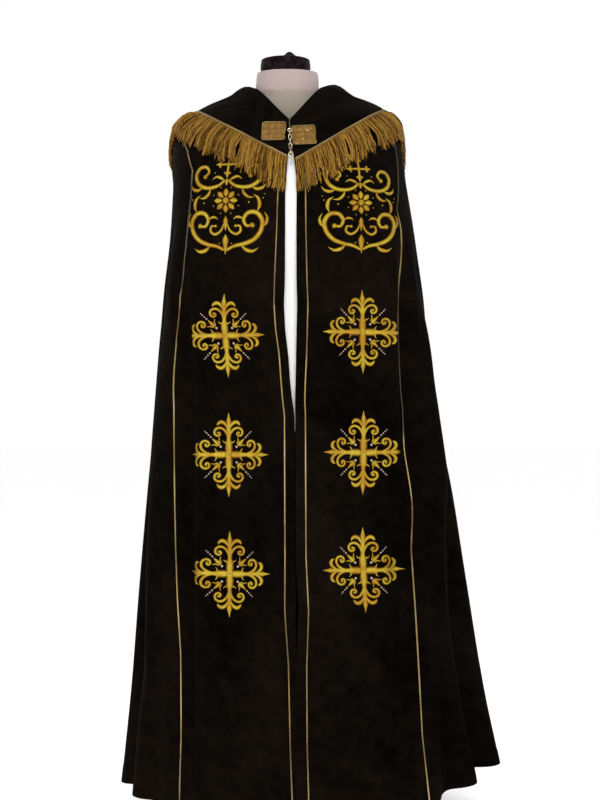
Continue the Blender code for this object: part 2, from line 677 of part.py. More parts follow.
def turned(name, profile, middle, sides, slot):
    """A solid turned about the vertical through its middle, from its (radius, height) profile."""
    angle = 2 * math.pi * np.arange(sides) / sides
    x, y = middle
    rings = [
        np.stack([x + r * np.cos(angle), y + r * np.sin(angle), np.full(sides, z)], axis=-1)
        for r, z in profile
    ]
    return add_tube(name, np.array(rings), slot)


def build_form():
    """The dress form with its neck cap, knob, pole and base."""
    form = table(FORM_COLUMNS, FORM_RINGS)
    angle = 2 * math.pi * np.arange(FORM_SIDES) / FORM_SIDES
    round_x = np.sign(np.cos(angle)) * np.abs(np.cos(angle)) ** 0.92
    round_y = np.sign(np.sin(angle)) * np.abs(np.sin(angle)) ** 0.92
    x = form["x"][:, None] + form["half_width"][:, None] * round_x
    y = form["y"][:, None] + form["half_depth"][:, None] * round_y
    z = np.repeat(form["z"][:, None], FORM_SIDES, axis=1)
    add_tube("dress_form", np.stack([x, y, z], axis=-1), "form_jersey")
    turned("neck_cap", CAP_PROFILE, CAP_MIDDLE, 20, "black_cap")
    turned("cap_knob", KNOB_PROFILE, KNOB_MIDDLE, 12, "black_cap")
    pole_top = FORM_BOTTOM - SEAM_GAP
    pole = ((POLE_RADIUS, BASE_HEIGHT + SEAM_GAP), (POLE_RADIUS, pole_top))
    turned("stand_pole", pole, (0.0, 0.0), 16, "stand_metal")
    edge = 0.004
    base = (
        (BASE_RADIUS, 0.0),
        (BASE_RADIUS, BASE_HEIGHT - edge),
        (BASE_RADIUS - edge, BASE_HEIGHT),
    )
    turned("stand_base", base, (0.0, 0.0), 32, "stand_metal")


def main():
    for old in list(bpy.data.objects):
        bpy.data.objects.remove(old)
    drape = Drape()
    build_panels(drape)
    for seam, name in ((1, "left_inner"), (2, "left_outer"), (3, "right_outer"), (4, "right_inner")):
        add_piping(drape, "piping_" + name, seam)
    build_hood(drape)
    build_fringes(drape)
    for plate in PLATES:
        add_plate(drape, *plate)
    build_clasp()
    build_form()


if __name__ == "__main__":
    main()
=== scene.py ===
"""Cope vestment on a limbless dress form: the cloth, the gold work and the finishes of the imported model.

Every cloth piece is cut from one drape. A point on it has a place, which runs round the wearer, and
a level, which runs down from the neckline. Whole places are the seams:
0 left front edge, 1 left inner piping, 2 left outer piping, 3 right outer piping,
4 right inner piping, 5 right front edge. A level is the height of its ring at the front.
All sizes are in metres, +Z up, and the front faces -Y.
"""

import json
import logging
import math
from dataclasses import dataclass
from enum import Enum
from typing import Any, Callable, Iterable, Sequence

import bpy
import numpy as np
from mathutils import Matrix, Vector

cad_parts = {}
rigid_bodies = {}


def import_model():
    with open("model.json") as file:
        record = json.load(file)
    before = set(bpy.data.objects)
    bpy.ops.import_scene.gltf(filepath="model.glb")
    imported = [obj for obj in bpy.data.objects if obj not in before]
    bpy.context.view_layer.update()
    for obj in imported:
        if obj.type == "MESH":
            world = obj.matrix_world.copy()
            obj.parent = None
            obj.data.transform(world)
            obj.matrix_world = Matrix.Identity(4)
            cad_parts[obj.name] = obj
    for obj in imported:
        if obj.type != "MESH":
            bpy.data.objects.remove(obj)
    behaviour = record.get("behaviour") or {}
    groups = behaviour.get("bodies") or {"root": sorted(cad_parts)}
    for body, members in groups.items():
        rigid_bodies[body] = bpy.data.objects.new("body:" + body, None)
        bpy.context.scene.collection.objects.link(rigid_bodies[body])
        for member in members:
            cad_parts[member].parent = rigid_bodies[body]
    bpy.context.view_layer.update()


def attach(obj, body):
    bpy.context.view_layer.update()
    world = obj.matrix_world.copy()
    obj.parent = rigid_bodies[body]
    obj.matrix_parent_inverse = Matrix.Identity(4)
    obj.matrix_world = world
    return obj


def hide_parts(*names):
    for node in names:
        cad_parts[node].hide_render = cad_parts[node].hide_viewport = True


LOG = logging.getLogger("cope")
BODY = "root"
TAU = 2 * math.pi
MM = 0.001
BEAD_TONE = 2.0  # the tone of pale beads in the embroidery; other tones run from 0 to 1
ByName = dict[Any, Any]
Colour = tuple[float, float, float]
Rows = tuple[tuple[float, ...], ...]

# The cope's own measures, the same as in the part's source
WALL = 0.002
SEAM_GAP = 0.0003
LAST_SEAM = 5  # the right front edge, counting the seams from the left front edge
BEFORE_SEAM = 1e-9  # taken from a seam's place where it is read from the side with the lower places
FULL_RING = 1.20
WIDEST_Y = 0.02
BACK_SQUARENESS = 2.15
BACK_RISE = 2.0
HOOD_LIFT = 0.0056
HOOD_BACK_EDGE = 1.120
HOOD_TURN = 0.235
FLUTE_SWELL = 0.24
NECKLINE = 1.385
HEM = 0.068

# The level of the hood's edge by the share of the way round, before it drops at the back.
HOOD_LINE = (
    (0.0, 1.3150),
    (0.024, 1.3185),
    (0.090, 1.3235),
    (0.183, 1.3280),
    (0.240, 1.3300),
    (0.760, 1.3262),
    (0.830, 1.3242),
    (0.906, 1.3202),
    (0.944, 1.3173),
    (0.973, 1.3145),
    (1.0, 1.3097),
)
# The drape's plain rings, from the neckline to the hem: heights, reaches and shape.
RING_COLUMNS = (
    "front_z", "left_z", "right_z", "back_z", "left", "right", "front_y", "back_y", "squareness", "rise",
)
RINGS = (
    (1.385, 1.468, 1.471, 1.476, 0.071, 0.071, -0.120, 0.078, 1.60, 1.0),
    (1.372, 1.472, 1.476, 1.478, 0.088, 0.092, -0.128, 0.098, 1.55, 1.0),
    (1.352, 1.448, 1.453, 1.452, 0.124, 0.128, -0.137, 0.122, 1.55, 1.0),
    (1.322, 1.411, 1.419, 1.396, 0.203, 0.196, -0.148, 0.150, 1.75, 1.05),
    (1.295, 1.365, 1.365, 1.335, 0.229, 0.220, -0.152, 0.163, 2.15, 1.3),
    (1.250, 1.270, 1.270, 1.240, 0.232, 0.236, -0.155, 0.176, 2.70, 2.0),
    (1.030, 1.050, 1.050, 1.030, 0.248, 0.264, -0.168, 0.208, 3.10, 2.0),
    (0.850, 0.872, 0.872, 0.855, 0.2590, 0.279, -0.180, 0.240, 3.20, 2.0),
    (0.650, 0.675, 0.675, 0.660, 0.271, 0.312, -0.193, 0.280, 3.20, 2.0),
    (0.450, 0.480, 0.484, 0.465, 0.280, 0.335, -0.206, 0.322, 3.10, 2.1),
    (0.250, 0.280, 0.300, 0.270, 0.287, 0.358, -0.220, 0.362, 3.00, 3.0),
    (0.068, 0.090, 0.148, 0.092, 0.298, 0.385, -0.234, 0.396, 2.90, 4.0),
)
# The x of both front edges, then the widths of the bands and the orphreys. The edges follow the gap
# between the fronts a little closer than the solids' edges do.
FRONT_COLUMNS = ("z", "left_x", "right_x", "left_band", "right_band", "left_orphrey", "right_orphrey")
FRONT = (
    (1.385, -0.0030, 0.0066, 0.012, 0.012, 0.206, 0.226),
    (1.325, -0.0009, 0.0094, 0.012, 0.0136, 0.204, 0.226),
    (1.285, -0.0035, 0.0140, 0.013, 0.0155, 0.204, 0.226),
    (1.250, -0.0062, 0.0156, 0.014, 0.017, 0.204, 0.226),
    (1.180, -0.0064, 0.0150, 0.016, 0.0182, 0.2065, 0.219),
    (1.080, -0.0068, 0.0153, 0.020, 0.020, 0.210, 0.212),
    (1.034, -0.0088, 0.0166, 0.019, 0.0205, 0.213, 0.212),
    (0.985, -0.0066, 0.0154, 0.018, 0.0205, 0.216, 0.2122),
    (0.936, -0.0007, 0.0146, 0.017, 0.020, 0.220, 0.2135),
    (0.886, 0.0032, 0.0137, 0.017, 0.0185, 0.224, 0.216),
    (0.850, 0.0072, 0.0126, 0.018, 0.0185, 0.225, 0.218),
    (0.820, 0.0115, 0.0133, 0.019, 0.019, 0.2252, 0.219),
    (0.550, 0.0122, 0.0143, 0.0185, 0.019, 0.221, 0.208),
    (0.450, 0.0122, 0.0190, 0.0188, 0.019, 0.218, 0.2095),
    (0.350, 0.0151, 0.0147, 0.0146, 0.020, 0.2192, 0.216),
    (0.200, 0.0157, 0.0149, 0.0120, 0.0207, 0.221, 0.2215),
    (0.068, 0.0162, 0.0153, 0.0074, 0.0240, 0.2275, 0.2325),
)

# How far each outer seam wanders from its own place near the shoulder, by ring: level, shift.
LEFT_SEAM = (
    (1.322, 0.070),
    (1.303, 0.054),
    (1.286, -0.004),
    (1.268, -0.118),
    (1.235, -0.138),
    (1.147, -0.117),
    (1.038, -0.025),
    (0.953, 0.0),
)
RIGHT_SEAM = (
    (1.322, -0.030),
    (1.290, 0.020),
    (1.250, 0.110),
    (1.220, 0.165),
    (1.188, 0.105),
    (1.158, 0.078),
    (1.093, 0.041),
    (0.990, 0.0),
)
# The body's flutes: each crest's place between the outer seams, its height at the hem, and the height
# above the floor at which it begins.
FLUTE_COLUMNS = ("place", "height", "top")
FLUTES = (
    (0.000, 0.000, 0.80),
    (0.062, 0.022, 0.95),
    (0.128, 0.037, 1.02),
    (0.190, 0.032, 1.10),
    (0.248, 0.036, 1.14),
    (0.310, 0.041, 1.08),
    (0.368, 0.036, 1.12),
    (0.425, 0.044, 1.05),
    (0.487, 0.046, 1.14),
    (0.548, 0.038, 1.06),
    (0.607, 0.045, 1.12),
    (0.668, 0.037, 1.05),
    (0.727, 0.042, 1.12),
    (0.785, 0.034, 1.08),
    (0.838, 0.032, 1.10),
    (0.892, 0.040, 1.00),
    (0.945, 0.022, 0.94),
    (1.000, 0.000, 0.80),
)
# The long folds of the front: the front edge they are measured from, how far along the ring from it,
# half width, depth, and the heights between which each one shows.
FOLDS = (
    ("left", 0.214, 0.034, -0.026, 1.20, -0.10),
    ("left", 0.292, 0.050, 0.010, 1.05, 0.02),
    ("right", 0.232, 0.036, -0.032, 1.24, 0.62),
    ("right", 0.306, 0.044, 0.016, 1.16, 0.58),
    ("right", 0.200, 0.042, -0.022, 0.84, -0.10),
    ("right", 0.318, 0.040, -0.014, 0.60, -0.05),
)

# Soft creases that the solids leave out. Each runs from (place, level) to (place, level); the rest are
# its half width and how far it stands out of the cloth, or into it where that is negative.
CREASES = (
    (1.05, 1.235, 1.48, 1.020, 0.026, -0.0050),
    (1.18, 1.225, 1.62, 1.000, 0.024, 0.0035),
    (1.62, 1.180, 1.93, 0.860, 0.024, -0.0055),
    (0.72, 1.150, 1.20, 0.760, 0.022, -0.0028),
    (1.34, 0.860, 1.22, 0.360, 0.034, -0.0034),
    (1.80, 0.800, 1.74, 0.150, 0.026, 0.0040),
    (1.12, 0.420, 1.20, 0.080, 0.030, 0.0032),
    (3.92, 1.215, 3.52, 1.010, 0.026, -0.0042),
    (3.40, 1.190, 3.10, 0.930, 0.026, -0.0058),
    (3.66, 1.060, 3.44, 0.700, 0.030, 0.0034),
    (3.82, 0.800, 3.88, 0.300, 0.034, -0.0030),
    (3.30, 0.600, 3.26, 0.100, 0.026, -0.0046),
    (3.58, 0.380, 3.52, 0.070, 0.032, 0.0036),
    (4.30, 0.700, 3.95, 0.180, 0.022, 0.0022),
    (2.03, 1.230, 2.10, 0.900, 0.030, -0.0065),
    (2.09, 1.180, 2.14, 0.700, 0.026, 0.0050),
    (2.14, 1.210, 2.22, 0.860, 0.028, -0.0060),
    (2.22, 1.180, 2.27, 0.780, 0.032, 0.0055),
    (2.33, 1.160, 2.30, 0.800, 0.026, -0.0052),
    (2.40, 1.140, 2.45, 0.760, 0.030, 0.0048),
    (2.48, 1.100, 2.46, 0.700, 0.024, -0.0055),
    (2.56, 1.120, 2.60, 0.800, 0.030, 0.0050),
    (2.64, 1.160, 2.62, 0.780, 0.026, -0.0055),
    (2.73, 1.170, 2.70, 0.760, 0.030, 0.0052),
    (2.80, 1.210, 2.77, 0.860, 0.026, -0.0062),
    (2.88, 1.180, 2.86, 0.640, 0.028, 0.0050),
    (2.955, 1.220, 2.92, 0.820, 0.026, -0.0060),
    (2.06, 0.520, 2.05, 0.080, 0.028, -0.0060),
    (2.17, 0.460, 2.18, 0.090, 0.020, 0.0050),
    (2.29, 0.560, 2.27, 0.090, 0.018, -0.0045),
    (2.52, 0.480, 2.53, 0.090, 0.020, 0.0045),
    (2.70, 0.440, 2.69, 0.090, 0.018, -0.0050),
    (2.84, 0.540, 2.85, 0.090, 0.020, 0.0055),
    (2.93, 0.600, 2.94, 0.080, 0.024, -0.0060),
)

PLY_SIDES = 5  # points round one ply of a cord
DENSE_LEVELS = 300  # rings of the drape's grid
DENSE_ANGLES = 1440  # points round each plain ring, before the seams are laid along it
DENSE_SECTIONS = (8, 90, 1300, 90, 8)  # columns of the drape's grid between each two seams

# The form's torso, from its underside to the top of its neck.
FORM_COLUMNS = ("z", "half_width", "half_depth", "y", "x")
FORM_RINGS = (
    (0.790, 0.150, 0.098, 0.004, 0.000),
    (0.800, 0.164, 0.108, 0.004, 0.000),
    (0.860, 0.176, 0.117, 0.004, 0.000),
    (0.940, 0.170, 0.114, 0.002, 0.000),
    (1.020, 0.148, 0.104, 0.000, 0.000),
    (1.080, 0.138, 0.099, 0.000, 0.000),
    (1.150, 0.149, 0.107, 0.000, 0.000),
    (1.240, 0.168, 0.116, 0.000, 0.000),
    (1.310, 0.177, 0.111, 0.004, 0.000),
    (1.360, 0.176, 0.100, 0.008, 0.000),
    (1.390, 0.166, 0.090, 0.010, 0.000),
    (1.408, 0.148, 0.081, 0.012, 0.000),
    (1.422, 0.118, 0.073, 0.012, 0.000),
    (1.434, 0.086, 0.066, 0.010, 0.000),
    (1.448, 0.067, 0.062, 0.008, -0.001),
    (1.475, 0.063, 0.060, 0.004, -0.003),
    (1.495, 0.062, 0.059, 0.002, -0.003),
    (1.502, 0.060, 0.057, 0.002, -0.003),
)


def table(columns: Sequence[str], rows: Sequence[Sequence[float]]) -> dict[str, np.ndarray]:
    """The rows as arrays, one for each named column."""
    return {name: np.array(values) for name, values in zip(columns, zip(*rows))}


def smooth(knots: np.ndarray, values: np.ndarray, at: np.ndarray) -> np.ndarray:
    """A cubic Hermite curve through (knots, values), whose slope at a knot is that of its neighbours.

    Args:
        knots: where the values are given, rising or falling.
        values: the values there.
        at: where the curve is read.

    Returns:
        The curve's values at `at`.
    """
    if knots[0] > knots[-1]:
        knots, values = knots[::-1], values[::-1]
    slopes = np.gradient(values, knots)
    at = np.clip(at, knots[0], knots[-1])
    i = np.clip(np.searchsorted(knots, at) - 1, 0, len(knots) - 2)
    width = knots[i + 1] - knots[i]
    t = (at - knots[i]) / width
    rest = 1 - t
    ends = values[i] * (1 + 2 * t) * rest**2 + values[i + 1] * (3 - 2 * t) * t**2
    return ends + width * (slopes[i] * t * rest**2 - slopes[i + 1] * rest * t**2)


def hump(t: np.ndarray) -> np.ndarray:
    """Cosine squared: 1 at t = 0, falling smoothly to 0 at t = -1 and t = 1."""
    return np.cos(np.clip(t, -1, 1) * math.pi / 2) ** 2


def ramp(t: np.ndarray) -> np.ndarray:
    """3t^2 - 2t^3: 0 up to t = 0, rising smoothly to 1 from t = 1 on."""
    t = np.clip(t, 0, 1)
    return t * t * (3 - 2 * t)


def signed_power(values: np.ndarray, power: float) -> np.ndarray:
    """The values' sizes to a power, with the values' signs."""
    return np.sign(values) * np.abs(values) ** power


def unit(vectors: np.ndarray) -> np.ndarray:
    """The vectors along the last axis, each divided by its length."""
    return vectors / np.maximum(np.linalg.norm(vectors, axis=-1, keepdims=True), 1e-12)


def seam_place(seam: float, levels: Any) -> np.ndarray:
    """The place of a seam on each of these rings: the two outer ones wander from theirs."""
    shift = {2: LEFT_SEAM, 3: RIGHT_SEAM}.get(int(seam), ((0.0, 0.0),))
    return seam + np.interp(levels, *zip(*shift[::-1]))


def front_widths(levels: np.ndarray) -> list[np.ndarray]:
    """Each column of FRONT after its height, read at these levels along straight lines."""
    front = table(FRONT_COLUMNS, FRONT)
    return [np.interp(levels, front["z"][::-1], front[name][::-1]) for name in FRONT_COLUMNS[1:]]


def plain_rings(levels: np.ndarray) -> tuple[np.ndarray, np.ndarray, np.ndarray, np.ndarray]:
    """Each ring before its folds: a superellipse about the form's axis, lifted from its front to its sides.

    Across is sin(a) to the power 2/squareness and ahead is cos(a) to the same power; the height rises
    with the reach across to the power `rise`.

    Args:
        levels: the rings' heights at the front.

    Returns:
        The points, how far along its ring each lies, and where the front edges cut each ring.
    """
    rings = table(RING_COLUMNS, RINGS)
    ring = {name: smooth(rings["front_z"], rings[name], levels)[:, None] for name in RING_COLUMNS[1:]}
    left_x, right_x = front_widths(levels)[:2]
    middle = ((left_x + right_x) / 2)[:, None]
    angle = np.linspace(0, TAU, DENSE_ANGLES + 1)[None, :]
    across, ahead = np.sin(angle), np.cos(angle)
    in_front = ahead > 0
    power = 2 / np.where(in_front, ring["squareness"], BACK_SQUARENESS)
    reach = np.abs(across) ** power
    x = middle + reach * np.where(across > 0, -(ring["left"] + middle), ring["right"] - middle)
    y = WIDEST_Y + (np.where(in_front, ring["front_y"], ring["back_y"]) - WIDEST_Y) * np.abs(ahead) ** power
    end_z = np.where(in_front, levels[:, None], ring["back_z"])
    side_z = np.where(across > 0, ring["left_z"], ring["right_z"])
    z = end_z + (side_z - end_z) * reach ** np.where(in_front, ring["rise"], BACK_RISE)
    points = np.stack([x, y, z], axis=-1)
    steps = np.linalg.norm(np.diff(points, axis=1), axis=-1)
    along = np.concatenate([np.zeros((len(levels), 1)), np.cumsum(steps, axis=1)], axis=1)
    return points, along, middle[:, 0] - left_x, along[:, -1] - (right_x - middle[:, 0])


def seam_distances(levels: np.ndarray, lengths: np.ndarray) -> np.ndarray:
    """How far along each ring the six seams lie, from the left front edge.

    Args:
        levels: the rings' levels.
        lengths: each ring's length between the front edges.

    Returns:
        Six distances for each ring.
    """
    left_band, right_band, left_orphrey, right_orphrey = front_widths(levels)[2:]
    share = np.minimum(lengths / FULL_RING, 1)
    left = [np.zeros(len(levels)), left_band * share, (left_band + left_orphrey) * share]
    right = [lengths - (right_band + right_orphrey) * share, lengths - right_band * share, lengths]
    return np.stack(left + right, axis=1)


def flute_offsets(place: np.ndarray, z: np.ndarray) -> tuple[np.ndarray, np.ndarray]:
    """How far the flutes move a point out of its ring, height times cos(2 pi turns), and along it.

    Args:
        place: the points' places between the outer seams, from 0 to 1.
        z: the points' heights above the floor.

    Returns:
        The offsets out of the ring, and those along it.
    """
    flutes = table(FLUTE_COLUMNS, FLUTES)
    turns = smooth(flutes["place"], np.arange(len(FLUTES), dtype=float), place)
    height = smooth(flutes["place"], flutes["height"], place)
    top = smooth(flutes["place"], flutes["top"], place)
    growth = np.clip((top - z) / (top - HEM), 0, None) ** 1.15
    height = np.clip(height, 0, None) * growth
    return height * np.cos(TAU * turns), FLUTE_SWELL * height * np.sin(2 * TAU * turns)


def front_folds(from_left: np.ndarray, from_right: np.ndarray, z: np.ndarray) -> np.ndarray:
    """How far the long folds of the front move a point: a sum of humps that fade in and out with height.

    Args:
        from_left: how far along its ring each point lies from the left front edge.
        from_right: how far from the right one.
        z: the points' heights above the floor.

    Returns:
        The offset of each point, out of the cloth.
    """
    out = np.zeros_like(z)
    for side, distance, half_width, depth, top, bottom in FOLDS:
        away = from_left if side == "left" else from_right
        fade = ramp((top - z) / 0.25) * ramp((z - bottom) / 0.15)
        out += depth * fade * hump((away - distance) / half_width)
    return out


def crease_offsets(places: np.ndarray, levels: np.ndarray, distances: np.ndarray) -> np.ndarray:
    """How far the soft creases move a point: each is a hump across a slanting line, tapered to its ends.

    Args:
        places: the places of the drape's columns.
        levels: the levels of its rows.
        distances: how far along its ring each point lies.

    Returns:
        The offset of each point, out of the cloth.
    """
    out = np.zeros_like(distances)
    for place_a, level_a, place_b, level_b, half_width, depth in CREASES:
        t = (levels - level_a) / (level_b - level_a)
        line = place_a + (place_b - place_a) * np.clip(t, -0.2, 1.2)
        line = line + 0.012 * np.sin(5.1 * t + 9.0 * place_a)
        middle = np.array([np.interp(p, places, row) for p, row in zip(line, distances)])
        swell = hump(2 * np.clip(t, 0, 1) - 1) ** 0.6
        width = half_width * (0.75 + 0.5 * np.clip(t, 0, 1))
        out += depth * swell[:, None] * hump((distances - middle[:, None]) / width[:, None])
    return out


class Drape:
    """The cope's outer face, worked out once on a fine grid that every cloth piece reads."""

    def __init__(self) -> None:
        """Lays the seams along each ring, then moves the points by the flutes, the folds and the creases."""
        self.levels = np.linspace(NECKLINE, HEM, DENSE_LEVELS)
        points, along, starts, ends = plain_rings(self.levels)
        lengths = ends - starts
        self.seams = seam_distances(self.levels, lengths)
        self.places = np.concatenate(
            [k + shares(count) for k, count in enumerate(DENSE_SECTIONS)] + [[LAST_SEAM]]
        )
        seam_places = np.arange(LAST_SEAM + 1)
        self.distances = np.array([np.interp(self.places, seam_places, seams) for seams in self.seams])
        plain = np.stack(
            [
                [np.interp(starts[i] + self.distances[i], along[i], points[i, :, axis]) for axis in range(3)]
                for i in range(DENSE_LEVELS)
            ]
        )
        plain = np.moveaxis(plain, 1, 2)
        tangent = unit(np.gradient(plain, axis=1) * (1, 1, 0))
        outward = np.stack([-tangent[..., 1], tangent[..., 0], np.zeros_like(tangent[..., 0])], axis=-1)
        z = plain[..., 2]
        body = np.broadcast_to(np.clip(self.places - 2, 0, 1), z.shape)
        out, sideways = flute_offsets(body, z)
        out = out + front_folds(self.distances, lengths[:, None] - self.distances, z)
        out = out + crease_offsets(self.places, self.levels, self.distances)
        self.points = plain + outward * out[..., None] + tangent * sideways[..., None]
        across = np.gradient(self.points, axis=1)
        self.normals = unit(np.cross(across, np.gradient(self.points, axis=0)))
        self.stretch = np.linalg.norm(across, axis=-1) / np.gradient(self.places)
        falls = np.linalg.norm(np.diff(self.points, axis=0), axis=-1)
        self.falls = np.concatenate([np.zeros((1, falls.shape[1])), np.cumsum(falls, axis=0)])
        self.stack = 10.0 * np.arange(len(self.places))
        self.stacked = (self.falls + self.stack).T.ravel()

    def read(self, grid: np.ndarray, place: Any, level: Any) -> np.ndarray:
        """The grid's values at (place, level), between its four nearest points.

        Args:
            grid: numbers or points, one for each of the drape's levels and places.
            place: the points' places.
            level: the points' levels.

        Returns:
            The values, in the shape of the places and levels.
        """
        place, level = np.broadcast_arrays(np.asarray(place, float), np.asarray(level, float))
        i = np.interp(-level, -self.levels, np.arange(DENSE_LEVELS))
        j = np.interp(place, self.places, np.arange(len(self.places)))
        i0 = np.minimum(i.astype(int), DENSE_LEVELS - 2)
        j0 = np.minimum(j.astype(int), len(self.places) - 2)
        a, b = i - i0, j - j0
        if grid.ndim == 3:
            a, b = a[..., None], b[..., None]
        upper = grid[i0, j0] * (1 - b) + grid[i0, j0 + 1] * b
        lower = grid[i0 + 1, j0] * (1 - b) + grid[i0 + 1, j0 + 1] * b
        return upper * (1 - a) + lower * a

    def point(self, place: Any, level: Any, lift: Any = 0.0) -> np.ndarray:
        """The point at (place, level), moved out of the cloth by lift."""
        lift = np.asarray(lift, float)[..., None]
        return self.read(self.points, place, level) + self.read(self.normals, place, level) * lift

    def sideways(self, place: Any, level: Any, metres: Any) -> np.ndarray:
        """The place that lies this many metres further round."""
        return place + metres / self.read(self.stretch, place, level)

    def lower(self, place: Any, level: Any, metres: Any) -> np.ndarray:
        """The level that lies this many metres further down the cloth, on the nearest column of the grid.

        Args:
            place: the points' places.
            level: the points' levels.
            metres: how far down each one goes.

        Returns:
            The levels.
        """
        place, level, metres = np.broadcast_arrays(*(np.asarray(v, float) for v in (place, level, metres)))
        j = np.rint(np.interp(place, self.places, np.arange(len(self.places)))).astype(int)
        wanted = self.read(self.falls, self.places[j], level) + metres
        wanted = np.clip(wanted, 0, self.falls[-1, j])
        at = np.searchsorted(self.stacked, wanted + self.stack[j]) - j * DENSE_LEVELS
        at = np.clip(at, 1, DENSE_LEVELS - 1)
        above, below = self.falls[at - 1, j], self.falls[at, j]
        share = (wanted - above) / np.maximum(below - above, 1e-9)
        return self.levels[at - 1] + share * (self.levels[at] - self.levels[at - 1])

    def cloth_uv(self, place: Any, level: Any) -> np.ndarray:
        """Metres along the ring and metres down from the neckline, which lay the weave on the cloth."""
        across = self.read(self.distances, place, level)
        return np.stack([across, -self.read(self.falls, place, level)], axis=-1)

    def share_place(self, share: np.ndarray) -> np.ndarray:
        """The place at a share of the way round the ring where the orphreys reach their full width."""
        row = int(np.argmax(self.seams[:, -1] >= FULL_RING))
        return np.interp(share, self.seams[row] / self.seams[row, -1], np.arange(LAST_SEAM + 1))

    def onto(self, place: float, height: float, flat: np.ndarray, lift: np.ndarray) -> np.ndarray:
        """Lays a flat motif on the cloth, its middle at (place, height).

        The motif's x runs along the cloth and its y straight up: Newton's steps find the level where a
        point's height is the middle's plus y, and the place where its distance from the nearer front edge
        differs from the middle's by x.

        Args:
            place: the middle's place.
            height: the middle's height above the floor.
            flat: the motif's points, in metres from its middle.
            lift: how far each point stands out of the cloth.

        Returns:
            The points in the scene.
        """
        step, flattest, rounds = 0.004, 0.5, 8
        zero = np.zeros(len(flat))
        round_from = self.distances - (self.distances[:, -1:] if place > LAST_SEAM / 2 else 0)
        level, at = zero + height, zero + place
        middle = height + zero
        for _ in range(rounds):
            slope = (self.high(at, level + step) - self.high(at, level - step)) / (2 * step)
            level = level + (height + flat[:, 1] - self.high(at, level)) / np.maximum(slope, flattest)
            own = zero + place
            slope = (self.high(own, middle + step) - self.high(own, middle - step)) / (2 * step)
            middle = middle + (height - self.high(own, middle)) / np.maximum(slope, flattest)
            along = self.read(round_from, own, middle) - flat[:, 0]
            at = at + (along - self.read(round_from, at, level)) / self.read(self.stretch, at, level)
        return self.point(at, level, lift)

    def high(self, place: Any, level: Any) -> np.ndarray:
        """The height of (place, level) above the floor."""
        return self.read(self.points, place, level)[..., 2]


# ---------------------------------------------------------------- shader wrapper


class Value:
    """One output socket of a shader, on which arithmetic with numbers or other values adds Math nodes."""

    def __init__(self, shader: "Shader", socket: bpy.types.NodeSocket) -> None:
        """Keeps the shader and the socket."""
        self.shader = shader
        self.socket = socket

    def math(self, operation: str, *others: Any) -> "Value":
        """A Math node on this value and the others."""
        sockets = dict(enumerate((self, *others)))
        return self.shader.node("Math", {"operation": operation}, sockets)

    def __add__(self, other: Any) -> "Value":
        """self + other."""
        return self.math("ADD", other)

    __radd__ = __add__

    def __sub__(self, other: Any) -> "Value":
        """self - other."""
        return self.math("SUBTRACT", other)

    def __rsub__(self, other: Any) -> "Value":
        """other - self."""
        return self.shader.node("Math", {"operation": "SUBTRACT"}, {0: other, 1: self})

    def __mul__(self, other: Any) -> "Value":
        """self * other."""
        return self.math("MULTIPLY", other)

    __rmul__ = __mul__

    def sine(self) -> "Value":
        """The sine of self, in radians."""
        return self.math("SINE")

    def absolute(self) -> "Value":
        """Self without its sign."""
        return self.math("ABSOLUTE")

    def wave(self, pitch: float, shift: Any = None) -> "Value":
        """0.5 + 0.5 sin(2 pi self / pitch + shift): even ribs from 0 to 1, one for each pitch."""
        turns = self * (TAU / pitch)
        return (turns if shift is None else turns + shift).sine() * 0.5 + 0.5

    def step(self, low: float, high: float) -> "Value":
        """0 up to low, rising smoothly to 1 from high on.

        Args:
            low: where the rise begins.
            high: where it ends.

        Returns:
            The step.
        """
        return self.shader.node(
            "MapRange",
            {"interpolation_type": "SMOOTHSTEP"},
            {"Value": self, "From Min": low, "From Max": high},
        )


